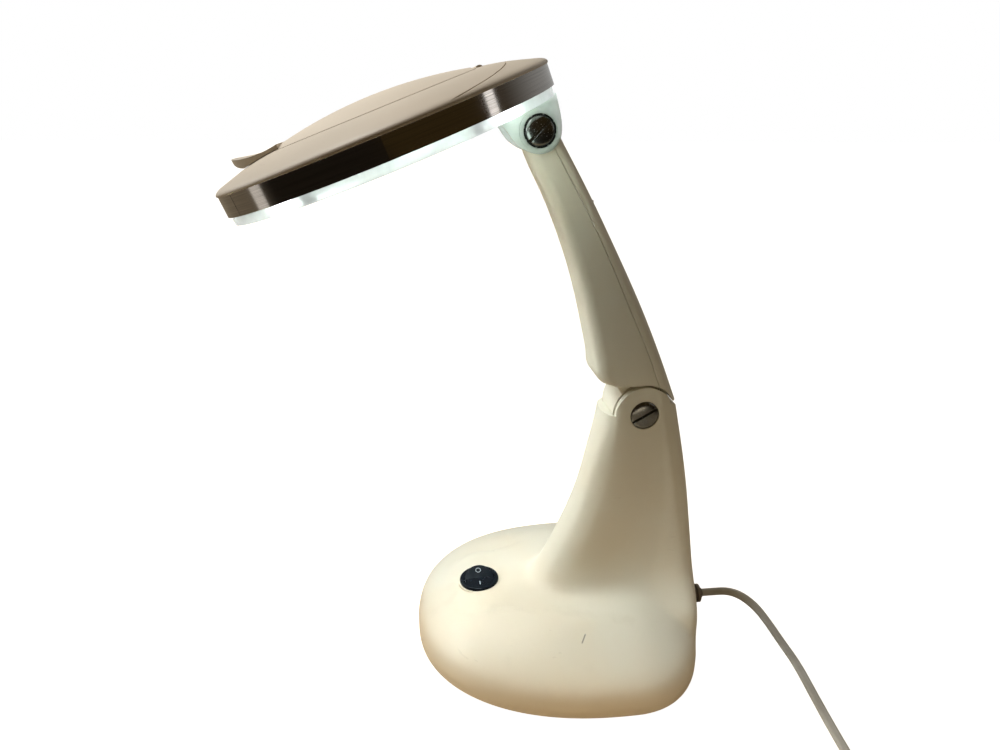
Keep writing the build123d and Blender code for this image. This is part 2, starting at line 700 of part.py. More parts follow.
def plug_frame():
    return Location((PLUG_LEAD[-1][0], PLUG_LEAD[-1][1], PLUG_THICKNESS / 2))


def make_plug_body():
    half = PLUG_WIDTH / 2
    outline = Polyline(
        (0, -3.6), (6.0, -4.2), (13.0, -half + 3.0), (17.0, -half), (PLUG_LENGTH, -half + 2.0),
        (PLUG_LENGTH, half - 2.0), (17.0, half), (13.0, half - 3.0), (6.0, 4.2), (0, 3.6), close=True,
    )
    body = extrude(make_face(outline), amount=PLUG_THICKNESS / 2, both=True)
    side = Plane.XZ * make_face(Polyline(
        (-1, -4.0), (8.0, -4.4), (14.0, -PLUG_THICKNESS / 2), (PLUG_LENGTH + 1, -PLUG_THICKNESS / 2),
        (PLUG_LENGTH + 1, PLUG_THICKNESS / 2), (14.0, PLUG_THICKNESS / 2), (8.0, 4.4), (-1, 4.0), close=True,
    ))
    body = body & extrude(side, amount=40, both=True)
    for y in (-PIN_SPACING / 2, PIN_SPACING / 2):
        body -= crosswise(2.0, PLUG_LENGTH - 6.0, PLUG_LENGTH + 1, y, 0)
    return plug_frame() * body


def make_plug_pins():
    pins = []
    for y in (-PIN_SPACING / 2, PIN_SPACING / 2):
        pin = crosswise(2.0, PLUG_LENGTH - 6.0, PLUG_LENGTH + 18.0, y, 0)
        pins.append(pin + Pos(PLUG_LENGTH + 18.0, y, 0) * Sphere(2.0))
    return plug_frame() * Compound(children=pins)


def make_plug_lead():
    """The short stretch from the coil's last turn up to the plug."""
    radii = corner_radii(PLUG_LEAD)
    path = FilletPolyline(*PLUG_LEAD, radius=radii)
    section = Plane(origin=PLUG_LEAD[0], z_dir=Vector(*PLUG_LEAD[1]) - Vector(*PLUG_LEAD[0])) * Circle(CORD_R)
    print("plug lead radii", [round(radius, 1) for radius in radii], "length", round(path.length, 1))
    return sweep(section, path=path)


# ---------------------------------------------------------------- build and write
arm_shell, arm_back_cover = make_arm_parts()
elbow_knuckle = make_elbow_knuckle()
for place in [arm_screw_place(z) for z in ARM_SCREW_HEIGHTS]:
    elbow_knuckle -= place * upright(1.25, -5.0, 9.0)
    arm_back_cover -= place * upright(2.5, -5.0, 2.0)
    arm_back_cover -= place * upright(1.25, -5.0, 12.0)

parts = {
    "anti_slip_pad": make_pad(),
    "base_plate": make_base_plate(),
    "base_screws": make_base_screws(),
    "ballast_weight": make_ballast(),
    "base_shell": make_base_shell(),
    "led_driver": make_led_driver(),
    "switch_housing": make_switch_housing(),
    "rocker": make_rocker(),
    "elbow_bolt": make_elbow_bolt(),
    "elbow_nut": make_elbow_nut(),
    "elbow_washers": make_elbow_washers(),
    "arm_shell": arm_shell,
    "arm_back_cover": arm_back_cover,
    "arm_screws": make_arm_screws(),
    "elbow_knuckle": elbow_knuckle,
    "lens_housing": make_lens_housing(),
    "trim_band": make_trim_band(),
    "top_cover": make_top_cover(),
    "lens": head_frame * lens_solid(),
    "lens_ring": make_lens_ring(),
    "led_board": make_led_board(),
    "leds": make_leds(),
    "head_screws": make_head_screws(),
    "tilt_bolt": make_tilt_bolt(),
    "tilt_nut": make_tilt_nut(),
    "tilt_rings": make_tilt_rings(),
    "tilt_washers": make_tilt_washers(),
    "lid": make_lid(),
    "lid_hinge_pin": make_hinge_pin(),
    "cord_gland": make_gland(),
    "mains_cord": make_cord(),
    "cord_coil": make_coil(),
    "plug_lead": make_plug_lead(),
    "plug_body": make_plug_body(),
    "plug_pins": make_plug_pins(),
}

os.makedirs("parts", exist_ok=True)
for name, shape in parts.items():
    export_step(shape, f"parts/{name}.step")
print("tilt pivot", round(TIP_Y, 2), round(TIP_Z, 2))
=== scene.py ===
from math import asin, atan2, cos, exp, pi, radians, sin, tan

import bmesh
import bpy
import numpy as np
from mathutils import Matrix, Vector


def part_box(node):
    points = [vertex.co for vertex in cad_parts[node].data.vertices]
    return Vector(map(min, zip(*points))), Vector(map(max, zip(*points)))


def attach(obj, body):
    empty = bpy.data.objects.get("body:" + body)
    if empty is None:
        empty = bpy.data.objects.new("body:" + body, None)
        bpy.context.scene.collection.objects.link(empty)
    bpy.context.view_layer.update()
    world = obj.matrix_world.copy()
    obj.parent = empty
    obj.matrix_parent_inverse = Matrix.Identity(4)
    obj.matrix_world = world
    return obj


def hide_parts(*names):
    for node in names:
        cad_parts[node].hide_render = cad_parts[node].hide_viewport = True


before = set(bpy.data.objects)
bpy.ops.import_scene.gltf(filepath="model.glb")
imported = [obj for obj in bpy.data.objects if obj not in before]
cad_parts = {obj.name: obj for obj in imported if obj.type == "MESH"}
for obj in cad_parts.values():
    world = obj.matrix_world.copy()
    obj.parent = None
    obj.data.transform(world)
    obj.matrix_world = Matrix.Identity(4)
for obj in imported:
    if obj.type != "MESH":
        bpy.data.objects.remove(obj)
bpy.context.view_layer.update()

# ---------------------------------------------------------------- driving dimensions, in metres
MM = 0.001
SHELL_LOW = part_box("base_shell")[0]
BASE_HALF_WIDTH = 84.2 * MM
BASE_FRONT = 108.4 * MM
BASE_REAR = 53.9 * MM
FRONT_POWER = 2.31
REAR_POWER = 2.22
BASE_BOTTOM = SHELL_LOW[2]
BASE_WALL_TOP = 6.0 * MM
BASE_CROWN = 30.4 * MM
SIDE_ROUNDING = 52.0 * MM
FRONT_ROUNDING = 37.0 * MM
REAR_ROUNDING = 15.0 * MM
# the wall's profile: the share of the rounding that it has come in by, and its height in millimetres
PROFILE = [(0.0, 6.0), (0.005, 9.0), (0.02, 11.8), (0.05, 14.3), (0.10, 16.4), (0.17, 18.3), (0.28, 20.9),
           (0.43, 23.9), (0.58, 26.5), (0.74, 28.7), (0.88, 30.0), (1.0, 30.4)]
WALL = 2.6 * MM
BASE_CENTRE_Y = 15.0 * MM          # the point that the base and pillar outlines are swept about

ELBOW_Y = 17.3 * MM
ELBOW_Z = 138.5 * MM
CHEEK_R = 16.0 * MM
SLOT_HALF = 11.3 * MM
SLOT_R = 17.0 * MM
LIP_Z = 138.2 * MM
BOLT_R = 4.05 * MM
BOLT_RECESS_R = 8.1 * MM
ELBOW_SEAT = 12.9 * MM             # from the middle to where the bolt's head and nut sit
ARM_CLEAR_R = 17.4 * MM

HEAD_PLACE = Matrix.Translation((0, -117.0 * MM, 286.5 * MM)) @ Matrix.Rotation(radians(21.46), 4, "X")
TILT_ALONG = 67.5 * MM
TILT_H = -26.7 * MM
TILT_SEAT = 12.7 * MM
SWITCH_PLACE = Matrix.Translation((0, -72.0 * MM, 30.6 * MM)) @ Matrix.Rotation(radians(3.0), 4, "X")


# ---------------------------------------------------------------- mesh helpers
def new_object(name, verts, faces, smooth=True):
    mesh = bpy.data.meshes.new(name)
    mesh.from_pydata([tuple(v) for v in verts], [], faces)
    mesh.validate()
    thing = bpy.data.objects.new(name, mesh)
    bpy.context.scene.collection.objects.link(thing)
    tidy_normals(thing)
    if smooth:
        mesh.polygons.foreach_set("use_smooth", [True] * len(mesh.polygons))
    return thing


def tidy_normals(thing):
    """Turns every face to look outward."""
    work = bmesh.new()
    work.from_mesh(thing.data)
    bmesh.ops.recalc_face_normals(work, faces=work.faces)
    work.to_mesh(thing.data)
    work.free()


def loft(name, rings):
    """A closed skin through rings of equal length, capped at both ends."""
    rings = np.asarray(rings)
    count = rings.shape[1]
    verts = rings.reshape(-1, 3)
    faces = []
    for ring in range(rings.shape[0] - 1):
        for k in range(count):
            after = (k + 1) % count
            low = ring * count
            faces.append((low + k, low + after, low + count + after, low + count + k))
    faces.append(tuple(reversed(range(count))))
    last = (rings.shape[0] - 1) * count
    faces.append(tuple(last + k for k in range(count)))
    return new_object(name, verts, faces)


def circle(radius, count, centre=(0.0, 0.0)):
    """Evenly spaced points of a circle in a plane."""
    turns = [2 * pi * k / count for k in range(count)]
    return [(centre[0] + radius * cos(turn), centre[1] + radius * sin(turn)) for turn in turns]


def prism_yz(outline, low_x, high_x):
    """A closed outline of (y, z) points, from low_x to high_x."""
    count = len(outline)
    verts = [(x, y, z) for x in (low_x, high_x) for y, z in outline]
    faces = [(k, (k + 1) % count, count + (k + 1) % count, count + k) for k in range(count)]
    faces.append(tuple(reversed(range(count))))
    faces.append(tuple(range(count, 2 * count)))
    return new_object("cutter", verts, faces)


def disc_x(radius, low_x, high_x, y, z, count=96):
    """A round cutter across the lamp, centred on (y, z)."""
    return prism_yz(circle(radius, count, (y, z)), low_x, high_x)


def block(low, high):
    """A box between two corners."""
    outline = [(low[1], low[2]), (high[1], low[2]), (high[1], high[2]), (low[1], high[2])]
    return prism_yz(outline, low[0], high[0])


def upright(radius, low_z, high_z, at, count=64):
    """A round upright cutter centred on at."""
    return loft("cutter", [[(x, y, z) for x, y in circle(radius, count, at)] for z in (low_z, high_z)])


def carve(thing, *cutters, operation="DIFFERENCE"):
    """Applies one boolean with all the cutters, and removes them."""
    group = bpy.data.collections.new("cutters")
    for cutter in cutters:
        group.objects.link(cutter)
    step = thing.modifiers.new("carve", "BOOLEAN")
    step.operation = operation
    step.solver = "EXACT"
    if len(cutters) == 1:
        step.object = cutters[0]
    else:
        step.operand_type = "COLLECTION"
        step.collection = group
    keep_result(thing)
    for cutter in cutters:
        bpy.data.objects.remove(cutter)
    bpy.data.collections.remove(group)
    return thing


def keep_result(thing):
    """Applies every modifier on the thing."""
    bpy.context.view_layer.update()
    seen = thing.evaluated_get(bpy.context.evaluated_depsgraph_get())
    mesh = bpy.data.meshes.new_from_object(seen)
    thing.modifiers.clear()
    old = thing.data
    thing.data = mesh
    bpy.data.meshes.remove(old)


def shade_by_angle(thing, degrees_limit=32.0):
    """Smooth faces, with an edge kept sharp where it turns by more than the limit."""
    work = bmesh.new()
    work.from_mesh(thing.data)
    bmesh.ops.remove_doubles(work, verts=work.verts, dist=0.00002)
    bmesh.ops.dissolve_degenerate(work, dist=0.00001, edges=work.edges)
    limit = radians(degrees_limit)
    for face in work.faces:
        face.smooth = True
    for edge in work.edges:
        edge.smooth = not (len(edge.link_faces) == 2 and edge.calc_face_angle(0) > limit)
    work.to_mesh(thing.data)
    work.free()
    return thing


def finish_piece(thing, name, body, slot_name, material, *replaced):
    """Names and paints a piece, and says which body carries it and which sub-parts it stands for."""
    thing.name = name
    thing.data.name = name
    thing.data.materials.clear()
    thing.data.materials.append(material)
    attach(thing, body)
    if replaced:
        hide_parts(*replaced)
    return thing


def hermite(heights, values, z):
    """A smooth curve through (height, value) pairs."""
    heights = np.asarray(heights)
    values = np.asarray(values)
    slopes = np.gradient(values, heights)
    k = int(np.clip(np.searchsorted(heights, z) - 1, 0, len(heights) - 2))
    gap = heights[k + 1] - heights[k]
    t = (z - heights[k]) / gap
    before = (2 * t ** 3 - 3 * t ** 2 + 1) * values[k] + (t ** 3 - 2 * t ** 2 + t) * gap * slopes[k]
    after = (-2 * t ** 3 + 3 * t ** 2) * values[k + 1] + (t ** 3 - t ** 2) * gap * slopes[k + 1]
    return before + after


def soft_least(a, b, width):
    """The lesser of two, rounded where they cross."""
    return np.minimum(a, b) - np.maximum(width - np.abs(a - b), 0) ** 2 / (4 * width)


def smooth_step(low, high, value):
    """From 0 to 1 between two values, level at both."""
    t = np.clip((value - low) / (high - low), 0, 1)
    return t * t * (3 - 2 * t)


# ---------------------------------------------------------------- shader helpers
class Shader:
    """A material with short ways to add the nodes that the finishes share."""

    def __init__(self, name, colour, roughness):
        self.material = bpy.data.materials.new(name)
        self.material.use_nodes = True
        self.tree = self.material.node_tree
        self.surface = self.tree.nodes["Principled BSDF"]
        self.surface.inputs["Base Color"].default_value = (*colour, 1)
        self.surface.inputs["Roughness"].default_value = roughness
        self.coords = self.tree.nodes.new("ShaderNodeTexCoord")

    def link(self, a, b):
        self.tree.links.new(a, b)

    def set(self, **values):
        for name, value in values.items():
            self.surface.inputs[name.replace("_", " ")].default_value = value
        return self

    def mapped(self, scale=(1, 1, 1)):
        node = self.tree.nodes.new("ShaderNodeMapping")
        node.inputs["Scale"].default_value = scale
        self.link(self.coords.outputs["Object"], node.inputs["Vector"])
        return node.outputs["Vector"]

    def noise(self, scale, detail=3.0, stretch=(1, 1, 1), roughness=0.5):
        node = self.tree.nodes.new("ShaderNodeTexNoise")
        node.inputs["Scale"].default_value = scale
        node.inputs["Detail"].default_value = detail
        node.inputs["Roughness"].default_value = roughness
        self.link(self.mapped(stretch), node.inputs["Vector"])
        return node.outputs["Fac"]

    def ranged(self, value, low, high, to_low=0.0, to_high=1.0):
        node = self.tree.nodes.new("ShaderNodeMapRange")
        node.interpolation_type = "SMOOTHSTEP"
        node.inputs["From Min"].default_value = low
        node.inputs["From Max"].default_value = high
        node.inputs["To Min"].default_value = to_low
        node.inputs["To Max"].default_value = to_high
        self.link(value, node.inputs["Value"])
        return node.outputs["Result"]

    def math(self, operation, a, b):
        node = self.tree.nodes.new("ShaderNodeMath")
        node.operation = operation
        for socket, value in zip(node.inputs, (a, b)):
            if isinstance(value, (int, float)):
                socket.default_value = value
            else:
                self.link(value, socket)
        return node.outputs["Value"]

    def axis(self, name, vector=None):
        node = self.tree.nodes.new("ShaderNodeSeparateXYZ")
        self.link(vector or self.coords.outputs["Object"], node.inputs["Vector"])
        return node.outputs[name]

    def in_head(self):
        """Coordinates in the head's own frame, with its axis along Z."""
        node = self.tree.nodes.new("ShaderNodeMapping")
        node.vector_type = "TEXTURE"
        node.inputs["Location"].default_value = HEAD_PLACE.to_translation()
        node.inputs["Rotation"].default_value = HEAD_PLACE.to_euler()
        self.link(self.coords.outputs["Object"], node.inputs["Vector"])
        return node.outputs["Vector"]

    def mix(self, amount, a, b):
        """A colour between two; each is a colour or a socket."""
        node = self.tree.nodes.new("ShaderNodeMix")
        node.data_type = "RGBA"
        colour_inputs = [socket for socket in node.inputs if socket.type == "RGBA"]
        if isinstance(amount, (int, float)):
            node.inputs[0].default_value = amount
        else:
            self.link(amount, node.inputs[0])
        for socket, value in zip(colour_inputs, (a, b)):
            if isinstance(value, tuple):
                socket.default_value = (*value, 1)
            else:
                self.link(value, socket)
        return [socket for socket in node.outputs if socket.type == "RGBA"][0]

    def colour(self, socket):
        self.link(socket, self.surface.inputs["Base Color"])
        return self

    def roughness(self, socket):
        self.link(socket, self.surface.inputs["Roughness"])
        return self

    def bump(self, height, distance, strength=1.0, edge=0.0):
        """Relief, over edges rounded by the given radius."""
        node = self.tree.nodes.new("ShaderNodeBump")
        node.inputs["Distance"].default_value = distance
        node.inputs["Strength"].default_value = strength
        self.link(height, node.inputs["Height"])
        if edge:
            soft = self.tree.nodes.new("ShaderNodeBevel")
            soft.samples = 4
            soft.inputs["Radius"].default_value = edge
            self.link(soft.outputs["Normal"], node.inputs["Normal"])
        self.link(node.outputs["Normal"], self.surface.inputs["Normal"])
        return self


# ---------------------------------------------------------------- materials
NICK_PLACE = (54.6 * MM, -21.5 * MM)
NICK_ALONG = (-0.85, 0.53)
NICK_HALF_WIDTH = 0.5 * MM
NICK_HALF_LENGTH = 3.4 * MM


def nick(shader):
    """One short dark nick on the base's top, as a mask."""
    x, y = shader.axis("X"), shader.axis("Y")

    def distance(direction):
        """How far a point is from the nick's middle, measured in one direction."""
        reach = shader.math(
            "ADD", shader.math("MULTIPLY", x, direction[0]), shader.math("MULTIPLY", y, direction[1])
        )
        middle = NICK_PLACE[0] * direction[0] + NICK_PLACE[1] * direction[1]
        return shader.math("ABSOLUTE", shader.math("SUBTRACT", reach, middle), 0)

    width = shader.ranged(distance((NICK_ALONG[1], -NICK_ALONG[0])), NICK_HALF_WIDTH, 0.4 * NICK_HALF_WIDTH)
    length = shader.ranged(distance(NICK_ALONG), NICK_HALF_LENGTH, 0.65 * NICK_HALF_LENGTH)
    return shader.math("MULTIPLY", width, length)


def cream_plastic(name, light, warm, edge=0.4 * MM):
    """Aged ivory ABS: uneven yellowing, smudges, fine scratches and a faint moulded grain, with a painted warm
    glow of floor bounce light along the bottom edge.
    """
    shader = Shader(name, light, 0.42)
    clouds = shader.ranged(shader.noise(9.0, 4.0), 0.38, 0.68)
    tint = shader.mix(clouds, light, tuple(0.55 * a + 0.45 * b for a, b in zip(light, warm)))
    # painted light: this warm tint, growing toward the bottom edge, is painted floor bounce light on the lower
    # wall, not a colour of the plastic
    painted_floor_bounce = shader.ranged(shader.axis("Z"), 0.022, 0.004)
    tint = shader.mix(shader.math("MULTIPLY", painted_floor_bounce, 0.75), tint, warm)
    smudge = shader.ranged(shader.noise(38.0, 5.0, (1, 1, 0.35)), 0.63, 0.75)
    tint = shader.mix(shader.math("MULTIPLY", smudge, 0.10), tint, (0.42, 0.36, 0.24))
    scratch = shader.ranged(shader.noise(95.0, 2.0, (0.12, 1.0, 6.0)), 0.735, 0.76)
    tint = shader.mix(shader.math("MULTIPLY", scratch, 0.12), tint, (0.36, 0.28, 0.18))
    tint = shader.mix(shader.math("MULTIPLY", nick(shader), 0.7), tint, (0.16, 0.13, 0.10))
    shader.colour(tint)
    shader.roughness(shader.ranged(shader.noise(24.0, 4.0), 0.3, 0.7, 0.36, 0.52))
    shader.bump(shader.noise(1900.0, 2.0), 0.00003, 0.35, edge)
    shader.set(Specular_IOR_Level=0.42)
    return shader.material


def glossy_black():
    """The switch: smooth black plastic with a soft sheen."""
    shader = Shader("black_switch", (0.003, 0.006, 0.010), 0.2)
    shader.roughness(shader.ranged(shader.noise(300.0, 3.0), 0.3, 0.7, 0.16, 0.28))
    shader.set(Specular_IOR_Level=0.12)
    shader.bump(shader.noise(2400.0, 2.0), 0.00002, 0.3, 0.35 * MM)
    return shader.material


def worn_chrome(name, colour, low, high):
    """Plated or plain metal between two roughnesses, with fine darker specks."""
    shader = Shader(name, colour, low)
    shader.set(Metallic=1.0)
    shader.roughness(shader.ranged(shader.noise(900.0, 4.0), 0.35, 0.7, low, high))
    specks = shader.ranged(shader.noise(1500.0, 3.0), 0.60, 0.70)
    shader.colour(shader.mix(specks, colour, tuple(0.65 * c for c in colour)))
    shader.bump(shader.noise(1200.0, 3.0), 0.000004, 0.3, 0.2 * MM)
    return shader.material


def brushed_steel():
    """Fine lines that run round the band, so they're stretched along the head's plane."""
    shader = Shader("brushed_band", (0.30, 0.27, 0.24), 0.22)
    shader.set(Metallic=1.0)
    squeeze = shader.tree.nodes.new("ShaderNodeMapping")
    squeeze.inputs["Scale"].default_value = (18.0, 18.0, 5200.0)
    shader.link(shader.in_head(), squeeze.inputs["Vector"])
    noise = shader.tree.nodes.new("ShaderNodeTexNoise")
    noise.inputs["Scale"].default_value = 1.0
    noise.inputs["Detail"].default_value = 4.0
    shader.link(squeeze.outputs["Vector"], noise.inputs["Vector"])
    lines = noise.outputs["Fac"]
    shader.roughness(shader.ranged(lines, 0.3, 0.7, 0.07, 0.14))
    shader.colour(shader.mix(shader.ranged(lines, 0.3, 0.7), (0.36, 0.335, 0.31), (0.25, 0.235, 0.22)))
    shader.bump(lines, 0.000006, 0.2)
    return shader.material


RING_FADE = (-17 * MM, -13.5 * MM)     # along the head's axis, from unlit to fully lit


def clear_acrylic():
    """Clear moulding lit from inside by the ring of lamps: it glows most close to them."""
    shader = Shader("clear_acrylic", (0.60, 0.66, 0.60), 0.12)
    along = shader.axis("Z", shader.in_head())
    glow = shader.math("MULTIPLY", shader.ranged(along, *RING_FADE), 0.31)
    shader.link(glow, shader.surface.inputs["Emission Strength"])
    shader.surface.inputs["Emission Color"].default_value = (0.90, 0.97, 1.0, 1)
    clear = shader.ranged(along, *RING_FADE, 0.55, 0.62)
    ripple = shader.ranged(shader.noise(60.0, 3.0), 0.3, 0.7, -0.1, 0.1)
    shader.link(shader.math("ADD", clear, ripple), shader.surface.inputs["Alpha"])
    shader.bump(shader.noise(180.0, 2.0), 0.0002, 0.4, 0.3 * MM)
    shader.set(Specular_IOR_Level=0.7)
    return shader.material


def lens_glass():
    """The lens: clear, with the faintest waviness."""
    shader = Shader("lens_glass", (0.985, 0.995, 0.99), 0.01)
    shader.set(Transmission_Weight=1.0, IOR=1.49)
    shader.bump(shader.noise(40.0, 1.0), 0.000005, 0.2)
    return shader.material


def led_lamp():
    """A lamp that gives light, a little uneven over its face."""
    shader = Shader("led_chip", (0.9, 0.92, 0.85), 0.3)
    cell = shader.ranged(shader.noise(900.0, 2.0), 0.3, 0.7, 270.0, 350.0)
    shader.link(cell, shader.surface.inputs["Emission Strength"])
    shader.surface.inputs["Emission Color"].default_value = (0.86, 0.97, 1.0, 1)
    return shader.material


def soft_plastic(name, light, dark, roughness, grain=700.0, edge=0.3 * MM):
    """A matt finish that wanders between two colours, with a fine grain."""
    shader = Shader(name, light, roughness)
    shader.colour(shader.mix(shader.ranged(shader.noise(60.0, 4.0), 0.35, 0.7), light, dark))
    shader.roughness(shader.ranged(shader.noise(200.0, 3.0), 0.3, 0.7, roughness - 0.06, roughness + 0.08))
    shader.bump(shader.noise(grain, 3.0), 0.00006, 0.4, edge)
    return shader.material


IVORY = (0.80, 0.76, 0.635)
IVORY_WARM = (0.76, 0.60, 0.40)
MATERIALS = {
    "cream_abs": cream_plastic("cream_abs", IVORY, IVORY_WARM),
    "head_abs": cream_plastic("head_abs", (0.62, 0.535, 0.42), (0.58, 0.48, 0.36), 0.3 * MM),
    "brushed_band": brushed_steel(),
    "dark_chrome": worn_chrome("dark_chrome", (0.20, 0.20, 0.19), 0.12, 0.28),
    "screw_steel": worn_chrome("screw_steel", (0.55, 0.55, 0.54), 0.2, 0.4),
    "clear_acrylic": clear_acrylic(),
    "lens_glass": lens_glass(),
    "black_switch": glossy_black(),
    "black_spring": worn_chrome("black_spring", (0.03, 0.03, 0.03), 0.3, 0.5),
    "pad_rubber": soft_plastic("pad_rubber", (0.03, 0.028, 0.025), (0.05, 0.045, 0.04), 0.8, 1500.0),
    "plate_abs": soft_plastic("plate_abs", (0.55, 0.52, 0.43), (0.46, 0.43, 0.35), 0.5),
    "ballast_iron": soft_plastic("ballast_iron", (0.10, 0.095, 0.09), (0.16, 0.12, 0.09), 0.62, 400.0),
    "board": soft_plastic("board", (0.82, 0.83, 0.80), (0.74, 0.76, 0.72), 0.4, 500.0),
    "driver_board": soft_plastic("driver_board", (0.05, 0.17, 0.08), (0.04, 0.12, 0.06), 0.4, 500.0),
    "led_chip": led_lamp(),
    "gland_rubber": soft_plastic("gland_rubber", (0.20, 0.16, 0.12), (0.14, 0.11, 0.08), 0.6, 900.0),
    "mark_paint": soft_plastic("mark_paint", (0.36, 0.42, 0.45), (0.28, 0.33, 0.36), 0.5, 900.0, 0.05 * MM),
    "nylon_natural": soft_plastic("nylon_natural", (0.72, 0.70, 0.62), (0.64, 0.61, 0.53), 0.45),
    "cord_pvc": soft_plastic("cord_pvc", (0.50, 0.47, 0.41), (0.42, 0.39, 0.33), 0.42),
    "plug_pvc": soft_plastic("plug_pvc", (0.64, 0.61, 0.53), (0.56, 0.53, 0.45), 0.45),
    "pin_brass": worn_chrome("pin_brass", (0.78, 0.72, 0.58), 0.15, 0.3),
}


def paint_cad_nodes():
    """Each packed sub-part takes the finish of its own slot; the strain relief is darker than the cord."""
    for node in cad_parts:
        thing = bpy.data.objects[node]
        for holder in thing.material_slots:
            finish = holder.material.name.split(".")[0]
            if finish in MATERIALS:
                holder.material = MATERIALS["gland_rubber" if node == "cord_gland" else finish]


# ---------------------------------------------------------------- camera
CAMERA_PLACE = (0.3672, -0.1109, 0.2977)
CAMERA_TURN = (81.84, 19.16, 0.53)     # azimuth, how far it looks down, and roll, in degrees


def place_camera():
    """The view from the lamp's side, a little above the elbow."""
    azimuth, drop, roll = (radians(angle) for angle in CAMERA_TURN)
    forward = Vector((-sin(azimuth) * cos(drop), cos(azimuth) * cos(drop), -sin(drop)))
    level_right = forward.cross(Vector((0, 0, 1))).normalized()
    level_up = level_right.cross(forward)
    right = cos(roll) * level_right + sin(roll) * level_up
    up = cos(roll) * level_up - sin(roll) * level_right
    data = bpy.data.cameras.new("camera")
    data.lens = 26.36
    data.sensor_width = 36.0
    data.shift_x = -0.0041
    data.shift_y = -0.0158
    data.clip_start = 0.01
    camera = bpy.data.objects.new("camera", data)
    bpy.context.scene.collection.objects.link(camera)
    turn = Matrix((right, up, -forward)).transposed().to_4x4()
    camera.matrix_world = Matrix.Translation(CAMERA_PLACE) @ turn
    bpy.context.scene.camera = camera


# ---------------------------------------------------------------- mains lead
CORD_WIDTH = 5.0 * MM
CORD_THICKNESS = 3.0 * MM
LYING = CORD_THICKNESS / 2 + 0.1 * MM          # the middle's height where the lead lies on the desk
GLAND_Z = 7.8 * MM
CORD_EXIT = (0.0, 0.0686, GLAND_Z)

# the design's route from the gland to the coil; where it lies flat it is as low as a flat lead is
ROUTE = [
    CORD_EXIT,
    (0.0, 0.0770, GLAND_Z),
    (0.0026, 0.0856, 0.0094),
    (0.0086, 0.0924, 0.0092),
    (0.0180, 0.0976, 0.0070),
    (0.0290, 0.1002, 0.0039),
    (0.0420, 0.1014, LYING),
    (0.0600, 0.1014, LYING),
    (0.0800, 0.0988, LYING),
    (0.1050, 0.0958, LYING),
    (0.1320, 0.0934, LYING),
    (0.1580, 0.0939, LYING),
]
COIL_LOW, COIL_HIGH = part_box("cord_coil")
COIL_X = (COIL_LOW[0] + COIL_HIGH[0]) / 2
COIL_Y = (COIL_LOW[1] + COIL_HIGH[1]) / 2
TURN_RADII = [34.9 * MM, 29.9 * MM, 24.9 * MM, 19.9 * MM]
TURN_POINTS = 16
PLUG_LOW, PLUG_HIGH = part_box("plug_body")
PLUG_Y = (PLUG_LOW[1] + PLUG_HIGH[1]) / 2
PLUG_Z = (PLUG_LOW[2] + PLUG_HIGH[2]) / 2


def coil_points():
    """Four turns inward on the desk, four outward on top of them, and one more on the outermost."""
    outward = list(reversed(TURN_RADII))
    radii_by_layer = [TURN_RADII, outward, outward[-1:]]
    layers = [(LYING + k * CORD_THICKNESS, radii) for k, radii in enumerate(radii_by_layer)]
    turns = [(radius, z) for z, radii in layers for radius in radii]
    points = []
    for k in range(len(turns) * TURN_POINTS):
        turn, step = divmod(k, TURN_POINTS)
        share = float(smooth_step(0.55, 1.0, (step + 0.5) / TURN_POINTS))
        radius, z = turns[turn]
        if turn + 1 < len(turns):
            radius += share * (turns[turn + 1][0] - radius)
            z += share * (turns[turn + 1][1] - z)
        radius /= cos(pi / TURN_POINTS) ** 0.5
        angle = pi / 2 - 2 * pi * (step + 0.5) / TURN_POINTS
        points.append((COIL_X + radius * cos(angle), COIL_Y + radius * sin(angle), z))
    return points


def cord_route():
    """From the base to the plug: the run on the desk, the coil, and the tail over it."""
    tail_z = LYING + 2 * CORD_THICKNESS
    tail = [
        (COIL_X + 8 * MM, PLUG_Y, tail_z),
        (COIL_X + 20 * MM, PLUG_Y, 0.5 * (tail_z + PLUG_Z) - 0.0006),
        (COIL_X + 32 * MM, PLUG_Y, PLUG_Z),
        (PLUG_LOW[0] + 2 * MM, PLUG_Y, PLUG_Z),
    ]
    return ROUTE + coil_points() + tail


def spline_line(name, points):
    """The points of the smooth curve that follows a route."""
    data = bpy.data.curves.new(name, "CURVE")
    data.dimensions = "3D"
    data.resolution_u = 6
    spline = data.splines.new("NURBS")
    spline.points.add(len(points) - 1)
    for place, point in zip(spline.points, points):
        place.co = (*point, 1)
    spline.order_u = 3
    spline.use_endpoint_u = True
    thing = bpy.data.objects.new(name, data)
    bpy.context.scene.collection.objects.link(thing)
    mesh = bpy.data.meshes.new_from_object(thing)
    line = [Vector(vertex.co) for vertex in mesh.vertices]
    bpy.data.objects.remove(thing)
    bpy.data.curves.remove(data)
    bpy.data.meshes.remove(mesh)
    return line


def twin_section(count=20):
    """A flat twin lead's section: two round cores side by side with a shallow waist between."""
    points = []
    core = CORD_THICKNESS / 2
    offset = CORD_WIDTH / 2 - core
    for k in range(count):
        angle = 2 * pi * k / count
        side = 1 if cos(angle) >= 0 else -1
        waist = 1 - 0.16 * exp(-(cos(angle) / 0.42) ** 2)
        across = side * offset * min(1.0, abs(cos(angle)) * 2.2) + core * cos(angle)
        points.append((across, core * sin(angle) * waist))
    return points


UPRIGHT_UNTIL = (12 * MM, 50 * MM)     # along the lead, where it begins and ends its quarter turn to lie flat


